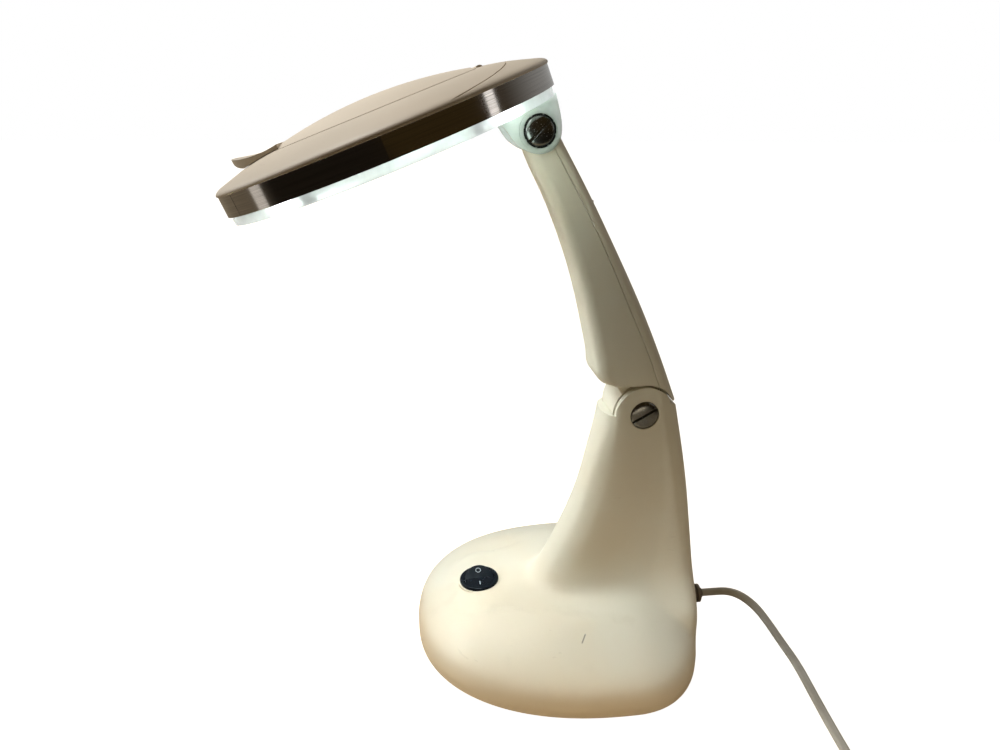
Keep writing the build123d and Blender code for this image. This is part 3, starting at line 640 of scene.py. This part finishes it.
def make_cord():
    """The whole lead, on edge where it leaves the base and flat on the desk."""
    line = spline_line("lead_route", cord_route())
    section = twin_section()
    rings = []
    run = 0.0
    for k, here in enumerate(line):
        run += (here - line[max(k - 1, 0)]).length
        ahead = (line[min(k + 1, len(line) - 1)] - line[max(k - 1, 0)]).normalized()
        flat = Vector((0, 0, 1)).cross(ahead).normalized()
        over = ahead.cross(flat).normalized()
        twist = pi / 2 * (1 - float(smooth_step(*UPRIGHT_UNTIL, run)))
        flat, over = cos(twist) * flat + sin(twist) * over, cos(twist) * over - sin(twist) * flat
        rings.append([here + a * flat + b * over for a, b in section])
    lead = loft("lead", [[tuple(p) for p in ring] for ring in rings])
    stands_for = ("mains_cord", "cord_coil", "plug_lead")
    finish_piece(lead, "flat_lead", "base", "cord_pvc", MATERIALS["cord_pvc"], *stands_for)


# ---------------------------------------------------------------- base and pillar
# height, front, shoulder, shoulder half width, rear, rear half width, in millimetres
PILLAR_ROWS = np.array([
    (27.0, -44.0, -18.0, 25.0, 52.4, 46.0),
    (33.0, -39.9, -16.5, 20.0, 52.2, 40.0),
    (42.0, -35.0, -14.5, 17.4, 51.9, 31.5),
    (64.0, -24.5, -6.5, 16.4, 50.4, 23.0),
    (94.0, -14.0, 2.5, 15.4, 47.0, 17.4),
    (110.0, -10.6, 4.6, 15.0, 44.2, 16.0),
    (128.0, -6.4, 5.0, 15.0, 40.4, 15.1),
    (158.0, -1.5, 4.2, 15.0, 33.4, 15.0),
]) * MM
PILLAR_TOP = 158 * MM
CAVITY_TOP = 110 * MM
OUTLINE_GAP = 0.4 * MM             # the pillar stays this far inside the base's outline
TURNS = 400
CROWN_STEPS = 56
FOOT_STEPS = 16
FOOT_SOFTENING = 4.2 * MM          # how widely the hollow where the pillar meets the base is blended
PILLAR_STEPS = 76


def polar(points, turns, centre_y):
    """The distance of a closed outline from (0, centre_y), in each of the given directions."""
    points = np.asarray(points)
    x, y = points[:, 0], points[:, 1] - centre_y
    angles = np.arctan2(y, x)
    order = np.argsort(angles)
    return np.interp(turns, angles[order], np.hypot(x, y)[order], period=2 * pi)


def base_outline():
    """A superellipse, longer and rounder in front of its widest line than behind."""
    own = np.linspace(-pi, pi, 2881)[:-1]
    forward = np.sin(own) < 0
    power = np.where(forward, FRONT_POWER, REAR_POWER)
    reach = np.where(forward, BASE_FRONT, BASE_REAR)
    x = np.sign(np.cos(own)) * np.abs(np.cos(own)) ** (2 / power) * BASE_HALF_WIDTH
    y = np.sign(np.sin(own)) * np.abs(np.sin(own)) ** (2 / power) * reach
    return np.stack([x, y], axis=1)


def catmull_loop(points, steps=14):
    """A smooth closed curve through the points."""
    points = np.asarray(points)
    count = len(points)
    dense = []
    for k in range(count):
        a, b, c, d = (points[(k + j) % count] for j in (-1, 0, 1, 2))
        for t in np.arange(steps) / steps:
            rise = (c - a) * t + (2 * a - 5 * b + 4 * c - d) * t ** 2 + (3 * b - a - 3 * c + d) * t ** 3
            dense.append(b + 0.5 * rise)
    return np.array(dense)


def pillar_radius(z, inset, turns):
    """The pillar's outline at a height: a rounded nose, a shoulder edge and a wider rounded back."""
    heights, *columns = PILLAR_ROWS.T
    front, shoulder, half, rear, rear_half = (hermite(heights, column, z) for column in columns)
    front += inset
    rear -= inset
    half -= inset
    rear_half -= inset
    right = [
        (0.34 * half, front + 0.05 * (shoulder - front)),
        (0.66 * half, front + 0.22 * (shoulder - front)),
        (0.90 * half, front + 0.56 * (shoulder - front)),
        (half, shoulder),
        (half + 0.13 * (rear_half - half), shoulder + 0.33 * (rear - shoulder)),
        (half + 0.46 * (rear_half - half), shoulder + 0.62 * (rear - shoulder)),
        (rear_half, rear - 9.0 * MM),
        (0.80 * rear_half, rear - 1.6 * MM),
    ]
    left = [(-x, y) for x, y in reversed(right)]
    return polar(catmull_loop([(0, front)] + right + [(0, rear)] + left), turns, BASE_CENTRE_Y)


def shell_profiles(inset, top):
    """For each direction, the skin's line from the wall's top over the rounding and up the pillar."""
    turns = np.arange(TURNS) * 2 * pi / TURNS
    outline = polar(base_outline(), turns, BASE_CENTRE_Y) - inset

    def pillar(z):
        return soft_least(pillar_radius(z, inset, turns), outline - OUTLINE_GAP, 3 * MM)

    crown = BASE_CROWN - inset
    rounding = SIDE_ROUNDING + (REAR_ROUNDING - SIDE_ROUNDING) * smooth_step(0.1, 0.9, np.sin(turns))
    rounding += (FRONT_ROUNDING - SIDE_ROUNDING) * smooth_step(0.35, 1.0, -np.sin(turns))
    shares, tops = np.array(PROFILE).T
    path = np.concatenate([[0], np.cumsum(np.hypot(np.diff(shares) * 40, np.diff(tops)))])
    lowest = PILLAR_ROWS[0, 0]
    lines = []
    for place in np.linspace(0, path[-1], CROWN_STEPS):
        z = float(hermite(path, tops, place)) * MM
        z = BASE_WALL_TOP + (z - BASE_WALL_TOP) * (crown - BASE_WALL_TOP) / (BASE_CROWN - BASE_WALL_TOP)
        radius = outline - rounding * hermite(path, shares, place)
        lines.append((np.maximum(radius, pillar(max(z, lowest))), np.full(TURNS, z)))
    start = lines[-1][0]
    foot = np.minimum(pillar(crown), start)
    for share in np.linspace(0, 1, FOOT_STEPS + 2)[1:]:
        lines.append((start + share * (foot - start), np.full(TURNS, crown)))
    for z in np.linspace(crown, top, 90)[1:]:
        lines.append((pillar(z), np.full(TURNS, z)))
    radii = np.array([line[0] for line in lines])
    heights = np.array([line[1] for line in lines])
    return turns, radii, heights


def even_rings(radii, heights, soften):
    """Rounds the inner corners of every profile, and spaces its points evenly from wall to foot to top."""
    foot_step = CROWN_STEPS + FOOT_STEPS
    out_r = np.zeros((CROWN_STEPS + PILLAR_STEPS, TURNS))
    out_z = np.zeros_like(out_r)
    for k in range(TURNS):
        r, z = radii[:, k], heights[:, k]
        along = np.concatenate([[0], np.cumsum(np.hypot(np.diff(r), np.diff(z)))])
        fine = np.linspace(0, along[-1], 420)
        fine_r, fine_z = np.interp(fine, along, r), np.interp(fine, along, z)
        spacing = fine[1] - fine[0]
        reach = int(3 * soften / spacing) + 1
        kernel = np.exp(-0.5 * (np.arange(-reach, reach + 1) * spacing / soften) ** 2)
        kernel /= kernel.sum()
        smooth_r = np.convolve(np.pad(fine_r, reach, "reflect", reflect_type="odd"), kernel, "valid")
        smooth_z = np.convolve(np.pad(fine_z, reach, "reflect", reflect_type="odd"), kernel, "valid")
        corner = along[foot_step]
        to_foot = np.linspace(0, corner, CROWN_STEPS, endpoint=False)
        places = np.concatenate([to_foot, np.linspace(corner, along[-1], PILLAR_STEPS)])
        out_r[:, k] = np.interp(places, fine, smooth_r)
        out_z[:, k] = np.interp(places, fine, smooth_z)
    return out_r, out_z


# half of the edge of the raised panel round the switch, front to back, as (half width, y) in millimetres
PANEL_EDGE = [
    (2, -92), (17, -90), (25, -84), (29, -76), (29, -70),
    (28, -62), (31, -51), (36, -40), (44, -30), (55, -22),
]
PANEL_RISE = 0.75 * MM
PANEL_SLOPE = 1.1 * MM


def panel_lift(x, y):
    """How much the top is raised at a point: full inside the panel, fading out toward the pillar's sides."""
    edge_x, edge_y = np.array(PANEL_EDGE).T * MM
    half = np.interp(y, edge_y, edge_x, left=-20 * MM, right=80 * MM)
    inside = smooth_step(-PANEL_SLOPE, PANEL_SLOPE, half - np.abs(x))
    past_front = y < edge_y[0] + 0.1 * MM
    inside = np.where(past_front, inside * smooth_step(-PANEL_SLOPE, PANEL_SLOPE, y - edge_y[0]), inside)
    return PANEL_RISE * inside * (1 - smooth_step(-40 * MM, -22 * MM, y))


def skin(name, inset, top, bottom):
    """The base and pillar as one closed skin, set in by a distance."""
    turns, radii, heights = shell_profiles(inset, top)
    r, z = even_rings(radii, heights, FOOT_SOFTENING)
    x = r * np.cos(turns)
    y = r * np.sin(turns) + BASE_CENTRE_Y
    if inset == 0:
        on_top = smooth_step(24 * MM, 27 * MM, z) * (1 - smooth_step(34 * MM, 40 * MM, z))
        z = z + panel_lift(x, y) * on_top
    wall_heights = np.linspace(bottom, BASE_WALL_TOP, 5)[:-1]
    rings = [np.stack([x[0], y[0], np.full(TURNS, height)], axis=1) for height in wall_heights]
    rings += [np.stack([x[k], y[k], z[k]], axis=1) for k in range(len(r))]
    return loft(name, rings)


SHOULDER_Z = 144.4 * MM
SHOULDER_LINE = [(33.4, 144.3), (35.2, 143.4), (36.6, 141.6), (39.0, 137.2)]     # (y, z) down the back


def cheek_cutter():
    """All that is cut away above the lip, the round cheeks and the rear shoulder."""
    outline = [(-0.12, LIP_Z), (ELBOW_Y - CHEEK_R, LIP_Z)]
    end = pi - asin((SHOULDER_Z - ELBOW_Z) / CHEEK_R)
    for k in range(49):
        angle = pi - k * end / 48
        outline.append((ELBOW_Y + CHEEK_R * cos(angle), ELBOW_Z + CHEEK_R * sin(angle)))
    outline += [(y * MM, z * MM) for y, z in SHOULDER_LINE]
    outline += [(0.12, LIP_Z - 1 * MM), (0.12, 0.2), (-0.12, 0.2)]
    return prism_yz(outline, -0.1, 0.1)


POSTS = [(-50 * MM, -46 * MM), (50 * MM, -46 * MM), (-60 * MM, 10 * MM), (60 * MM, 10 * MM)]
GLAND_PLACE = Matrix.Translation((0, BASE_REAR, GLAND_Z)) @ Matrix.Rotation(pi / 2, 4, "X")
SWITCH_SEAT_R = 12.4 * MM


def placed(thing, place):
    """The thing, with its mesh moved to a place."""
    thing.data.transform(place)
    return thing


def elbow_cutters():
    """The knuckle's slot, open at the top, the bolt's hole, and the recesses for its head and nut."""
    mouth = block((-SLOT_HALF, ELBOW_Y - 12 * MM, ELBOW_Z + 10 * MM), (SLOT_HALF, ELBOW_Y + 9 * MM, 0.17))
    cutters = [disc_x(SLOT_R, -SLOT_HALF, SLOT_HALF, ELBOW_Y, ELBOW_Z), mouth]
    cutters.append(disc_x(BOLT_R, -20 * MM, 20 * MM, ELBOW_Y, ELBOW_Z))
    for low, high in ((ELBOW_SEAT, 20 * MM), (-20 * MM, -ELBOW_SEAT)):
        cutters.append(disc_x(BOLT_RECESS_R, low, high, ELBOW_Y, ELBOW_Z))
    return cutters


def make_base():
    """The base and pillar: a hollow skin with screw posts, cut for the switch, the cord and the elbow."""
    shell = skin("base", 0, PILLAR_TOP, BASE_BOTTOM)
    carve(shell, placed(upright(SWITCH_SEAT_R, -5 * MM, 0, (0, 0), 96), SWITCH_PLACE), operation="UNION")
    cavity = skin("cavity", WALL, CAVITY_TOP, 0.5 * MM)
    carve(cavity, *[upright(5.0 * MM, 3.8 * MM, 40 * MM, at) for at in POSTS])
    switch_hole = placed(upright(10.0 * MM, -30 * MM, 30 * MM, (0, 0)), SWITCH_PLACE)
    gland_hole = placed(upright(3.6 * MM, -10 * MM, 10 * MM, (0, 0)), GLAND_PLACE)
    carve(shell, cavity, cheek_cutter(), switch_hole, gland_hole, *elbow_cutters())
    shade_by_angle(shell, 34)
    finish_piece(shell, "base_and_pillar", "base", "cream_abs", MATERIALS["cream_abs"], "base_shell")


# ---------------------------------------------------------------- arm
# rows of a height and the value there, in millimetres: y for the back, front and parting line, or half the width
ARM_BACK = [(145.9, 35.4), (169.3, 25.8), (197.4, 13.3), (231.7, -3.9), (263.6, -21.0), (284.0, -33.0)]
ARM_FRONT = [
    (155.6, -2.0), (156.6, -5.2), (158.6, -8.0), (162.6, -10.3), (169.0, -11.2),
    (184.0, -14.6), (219.0, -24.4), (250.0, -36.7), (276.0, -49.4), (284.0, -52.4),
]
ARM_HALF = [(140.0, 15.0), (178.0, 15.0), (212.0, 13.6), (244.0, 12.0), (266.0, 10.7), (284.0, 10.7)]
PARTING = [
    (152.0, 25.4), (172.8, 17.0), (197.9, 5.4), (229.4, -9.4), (256.6, -23.8), (277.7, -36.0), (286.0, -40.6),
]


def along_arm(rows, z):
    """The value at a height, on a smooth curve through the rows."""
    heights, values = np.array(rows).T * MM
    return float(hermite(heights, values, float(np.clip(z, heights[0], heights[-1]))))


def straight_back(z):
    """The back's y at a height, on straight lines between its rows."""
    heights, values = np.array(ARM_BACK).T * MM
    return float(np.interp(z, heights, values))


def arm_section(z, inset):
    """A level section: a soft rounded front and a shallow crowned back."""
    front = along_arm(ARM_FRONT, z) + inset
    back = along_arm(ARM_BACK, z) - inset
    half = along_arm(ARM_HALF, z) - inset
    front_round = min(7.0 * MM, 0.4 * (back - front))
    back_round = 5.2 * MM
    points = []
    for k in range(13):
        angle = pi / 2 * k / 12
        points.append((half - 0.85 * front_round * (1 - sin(angle)), front + front_round * (1 - cos(angle))))
    for k in range(13):
        angle = pi / 2 * k / 12
        points.append((half - 1.25 * back_round * (1 - cos(angle)), back - back_round * (1 - sin(angle))))
    left = [(-x, y) for x, y in reversed(points)]
    return [(x, y, z) for x, y in points + left]


def arm_body(name, inset, low, high):
    """The arm's skin, set in by a distance, with closely spaced levels where the chin turns under."""
    chin, throat = 155.6 * MM, 164 * MM
    spans = ((low, chin, 7), (chin, throat, 11), (throat, high, 69))
    levels = [start + (end - start) * k / steps for start, end, steps in spans for k in range(steps)] + [high]
    return loft(name, [arm_section(z, inset) for z in levels])


def back_cutter(gap):
    """Everything behind the line where the back cover meets the arm, pushed forward by a gap."""
    outline = [(along_arm(PARTING, z) + gap, z) for z in np.linspace(0.152, 0.286, 60)]
    outline += [(-0.02, 0.33), (0.1, 0.33), (0.1, 0.12), (0.0335, 0.12)]
    return prism_yz(outline, -0.05, 0.05)


def hollow_arm():
    """The whole arm, open below and cut round the elbow and its knuckle."""
    walls = arm_body("arm", 0, ARM_BACK[0][0] * MM, ARM_BACK[-1][0] * MM)
    carve(
        walls,
        arm_body("cavity", WALL, 0.140, 0.266),
        disc_x(ARM_CLEAR_R, -0.04, 0.04, ELBOW_Y, ELBOW_Z),
        block((-0.04, -0.06, 0.13), (0.04, ELBOW_Y, 0.1555)),
        block((-SLOT_HALF + 0.4 * MM, -1.5 * MM, 0.13), (SLOT_HALF - 0.4 * MM, 28 * MM, 0.162)),
    )
    return walls


TIP_R = 9.8 * MM
TIP_HALF = 10.7 * MM
ARM_SCREWS = (176 * MM, 250 * MM)      # the heights of the two screws in the back


def make_arm():
    """The arm's front moulding with its rounded tip, and the back cover with its two screw holes."""
    tip = HEAD_PLACE @ Vector((0, TILT_ALONG, TILT_H))
    shell = hollow_arm()
    cover = bpy.data.objects.new("cover", shell.data.copy())
    bpy.context.scene.collection.objects.link(cover)
    carve(cover, back_cutter(0.1 * MM), operation="INTERSECT")
    holes = [disc_x(TIP_R + 0.1 * MM, -0.03, 0.03, tip.y, tip.z)]
    low, high = ARM_BACK[1], ARM_BACK[4]
    lean = atan2(low[1] - high[1], high[0] - low[0])
    for z in ARM_SCREWS:
        place = Matrix.Translation((0, straight_back(z), z)) @ Matrix.Rotation(pi / 2 - lean, 4, "X")
        for radius, depth in ((2.5 * MM, 2 * MM), (1.3 * MM, 12 * MM)):
            holes.append(placed(upright(radius, -5 * MM, depth, (0, 0), 48), place))
    carve(cover, *holes)
    carve(shell, back_cutter(-0.1 * MM))
    carve(shell, disc_x(TIP_R, -TIP_HALF, TIP_HALF, tip.y, tip.z), operation="UNION")
    carve(shell, disc_x(3.05 * MM, -0.03, 0.03, tip.y, tip.z, 48))
    for piece, name, node in ((shell, "arm_front", "arm_shell"), (cover, "arm_back", "arm_back_cover")):
        shade_by_angle(piece, 34)
        finish_piece(piece, name, "arm", "cream_abs", MATERIALS["cream_abs"], node)


# ---------------------------------------------------------------- bolts, nuts and switch marks
# a domed screw head's outline: how far out of its seat, and its share of the full radius
HEAD_ROWS = [(0.0, 1.0), (1.7, 1.0), (2.1, 0.965), (2.4, 0.90), (2.6, 0.72), (2.75, 0.45), (2.8, 0.04)]


def screw_head(name, radius, seat, side, place, slot_angle, shaft):
    """A slotted domed head that faces along side * X, with or without its shaft."""
    rows = [(side * (seat + out * MM), share * radius) for out, share in HEAD_ROWS]
    if shaft:
        rows = [(-side * seat, shaft), (side * seat, shaft)] + rows
    head = loft(name, [[(x, y, z) for y, z in circle(r, 96)] for x, r in rows])
    low, high = sorted((side * (seat + 1.3 * MM), side * (seat + 6 * MM)))
    slot = block((low, -0.75 * MM, -12 * MM), (high, 0.75 * MM, 12 * MM))
    carve(head, placed(slot, Matrix.Rotation(radians(slot_angle), 4, "X")))
    return shade_by_angle(placed(head, place), 30)


def make_screw_heads():
    """The four slotted heads at the elbow and the head's pivot."""
    elbow = Matrix.Translation((0, ELBOW_Y, ELBOW_Z))
    tilt = HEAD_PLACE @ Matrix.Translation((0, TILT_ALONG, TILT_H))
    # name, radius, seat, side, place, the slot's angle, the shaft's radius, body, what it stands for
    rows = [
        ("elbow_screw", 7.8 * MM, ELBOW_SEAT, 1, elbow, -60, 4.0 * MM, "base", "elbow_bolt"),
        ("elbow_screw_nut", 7.8 * MM, ELBOW_SEAT, -1, elbow, 35, 0, "base", "elbow_nut"),
        ("tilt_screw", 7.0 * MM, TILT_SEAT, 1, tilt, -66, 3.0 * MM, "head", "tilt_bolt"),
        ("tilt_screw_nut", 7.0 * MM, TILT_SEAT, -1, tilt, 20, 0, "head", "tilt_nut"),
    ]
    for name, radius, seat, side, place, angle, shaft, body, node in rows:
        head = screw_head(name, radius, seat, side, place, angle, shaft)
        finish_piece(head, name, body, "dark_chrome", MATERIALS["dark_chrome"], node)


def make_switch_marks():
    """The two moulded marks, a ring on the raised face and a bar on the pressed one."""
    tilt = radians(10)                 # each half of the rocker's face slopes by this much
    rocker = SWITCH_PLACE @ Matrix.Rotation(tilt, 4, "Y")
    out = 5.0 * MM
    lift = 0.08 * MM
    ring = upright(1.6 * MM, -0.5 * MM, lift, (0, 0))
    carve(ring, upright(1.25 * MM, -1 * MM, 1 * MM, (0, 0)))
    bar = block((-1.5 * MM, -0.25 * MM, -0.5 * MM), (1.5 * MM, 0.25 * MM, lift))
    for mark, name, side in ((ring, "mark_off", -1), (bar, "mark_on", 1)):
        rise = 1.5 * MM + out * tan(tilt)
        face = Matrix.Translation((side * out, 0, rise)) @ Matrix.Rotation(-side * tilt, 4, "Y")
        shade_by_angle(placed(mark, rocker @ face), 30)
        finish_piece(mark, name, "rocker", "black_switch", MATERIALS["mark_paint"])


# ---------------------------------------------------------------- light and floor
def new_light(name, kind, place, power, colour, target=None):
    """A light at a place, turned to face its target where it has one."""
    data = bpy.data.lights.new(name, kind)
    data.energy = power
    data.color = colour
    lamp = bpy.data.objects.new(name, data)
    bpy.context.scene.collection.objects.link(lamp)
    lamp.matrix_world = Matrix.Translation(place)
    if target is not None:
        aim = (Vector(target) - Vector(place)).to_track_quat("-Z", "Y")
        lamp.matrix_world = Matrix.Translation(place) @ aim.to_matrix().to_4x4()
    return lamp


def area_light(name, place, target, size, power, colour, height=None):
    lamp = new_light(name, "AREA", place, power, colour, target)
    lamp.data.shape = "RECTANGLE"
    lamp.data.size = size
    lamp.data.size_y = height or size
    return lamp


def point_light(name, place, radius, power, colour):
    lamp = new_light(name, "POINT", place, power, colour)
    lamp.data.shadow_soft_size = radius
    return lamp


def spot_light(name, place, target, cone, power, colour):
    lamp = new_light(name, "SPOT", place, power, colour, target)
    lamp.data.spot_size = radians(cone)
    lamp.data.spot_blend = 0.5
    lamp.data.shadow_soft_size = 0.04
    return lamp


def sun(name, place, power, softness, colour):
    """Even light from one direction, softened over an angle in degrees."""
    lamp = new_light(name, "SUN", (0, 0, 0), power, colour)
    lamp.data.angle = radians(softness)
    lamp.matrix_world = Vector(place).to_track_quat("Z", "Y").to_matrix().to_4x4()
    return lamp


ROOM_LIGHT = (0.45, 0.45, 0.44)
ROOM_DARK = (0.062, 0.040, 0.014)
WHITE = (1, 1, 1, 1)


def make_world():
    """A room that is bright on the lamp's far side and darker and warmer on its near side, seen as white."""
    world = bpy.data.worlds.new("studio")
    bpy.context.scene.world = world
    world.use_nodes = True
    tree = world.node_tree
    tree.nodes.clear()
    add, link = tree.nodes.new, tree.links.new
    coords = add("ShaderNodeTexCoord")
    split = add("ShaderNodeSeparateXYZ")
    link(coords.outputs["Generated"], split.inputs["Vector"])
    ramp = add("ShaderNodeMapRange")
    ramp.interpolation_type = "SMOOTHSTEP"
    ramp.inputs["From Min"].default_value = 0.30
    ramp.inputs["From Max"].default_value = -0.60
    link(split.outputs["X"], ramp.inputs["Value"])
    blend = add("ShaderNodeMix")
    blend.data_type = "RGBA"
    colours = [socket for socket in blend.inputs if socket.type == "RGBA"]
    for socket, colour in zip(colours, (ROOM_DARK, ROOM_LIGHT)):
        socket.default_value = (*colour, 1)
    link(ramp.outputs["Result"], blend.inputs[0])
    room = add("ShaderNodeBackground")
    link([socket for socket in blend.outputs if socket.type == "RGBA"][0], room.inputs["Color"])
    white = add("ShaderNodeBackground")
    white.inputs["Color"].default_value = WHITE
    path = add("ShaderNodeLightPath")
    join = add("ShaderNodeMixShader")
    link(path.outputs["Is Camera Ray"], join.inputs["Fac"])
    link(room.outputs["Background"], join.inputs[1])
    link(white.outputs["Background"], join.inputs[2])
    out = add("ShaderNodeOutputWorld")
    link(join.outputs["Shader"], out.inputs["Surface"])


FLOOR_HALF = 6.0
FLOOR_LIGHT = (0.62, 0.52, 0.38)
FLOOR_DARK = (0.05, 0.04, 0.03)


def make_floor():
    """A pale floor, darker far off on the lamp's near side: it looks white, and throws little light back."""
    corners = [(x * FLOOR_HALF, y * FLOOR_HALF, 0) for x, y in ((-1, -1), (1, -1), (1, 1), (-1, 1))]
    floor = new_object("floor", corners, [(0, 1, 2, 3)])
    shader = Shader("floor_paint", FLOOR_LIGHT, 0.9)
    reach = shader.tree.nodes.new("ShaderNodeVectorMath")
    reach.operation = "LENGTH"
    shader.link(shader.coords.outputs["Object"], reach.inputs[0])
    side = shader.ranged(shader.axis("X"), -0.15, 0.20)
    far = shader.math("MULTIPLY", shader.ranged(reach.outputs["Value"], 0.28, 0.60), side)
    patch = shader.mix(shader.ranged(shader.noise(3.0, 2.0), 0.3, 0.7), FLOOR_LIGHT, (0.61, 0.51, 0.37))
    shader.colour(shader.mix(far, patch, FLOOR_DARK))
    shader.set(Specular_IOR_Level=0.0)
    path = shader.tree.nodes.new("ShaderNodeLightPath")
    shader.link(path.outputs["Is Camera Ray"], shader.surface.inputs["Emission Strength"])
    shader.surface.inputs["Emission Color"].default_value = WHITE
    floor.data.materials.append(shader.material)


def light_the_set():
    """Window, room lamps and the ring's own glow; the two lights of the ring ride with the head."""
    make_world()
    make_floor()
    sun("window", (-0.50, -1.0, 0.62), 1.4, 45.0, (1.0, 0.985, 0.95))
    area_light("strip", (0.34, 0.74, 0.58), (0, -0.08, 0.29), 0.12, 0.45, (1.0, 1.0, 1.0), 0.5)
    spot_light("top_lamp", (-0.25, -0.45, 0.90), (0, -0.117, 0.29), 15.0, 17.0, (1.0, 0.985, 0.95))
    area_light("front_card", (0.02, -0.60, 0.08), (0.06, -0.18, 0.26), 0.09, 0.10, (1.0, 0.97, 0.92), 0.3)
    ring = HEAD_PLACE @ Vector((0, 0, -18 * MM))
    glow = area_light("ring_glow", ring, ring - Vector((0, 0, 0.1)), 0.09, 0.19, (0.86, 0.97, 1.0))
    glow.data.shape = "DISK"
    glow.data.spread = radians(120)
    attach(glow, "head")
    ear = HEAD_PLACE @ Vector((0.05, 0.045, -0.035))
    spill = point_light("ear_spill", ear, 0.015, 0.03, (0.80, 1.0, 0.92))
    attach(spill, "head")
    bounce_from, bounce_to = (0.17, -0.03, 0.10), (0.10, -0.03, 0.0)
    area_light("desk_bounce", bounce_from, bounce_to, 0.2, 0.055, (1.0, 0.86, 0.66), 0.05)
    bpy.context.scene.view_settings.view_transform = "Standard"


# ---------------------------------------------------------------- build
place_camera()
make_cord()
paint_cad_nodes()
make_base()
make_arm()
make_screw_heads()
make_switch_marks()
light_the_set()
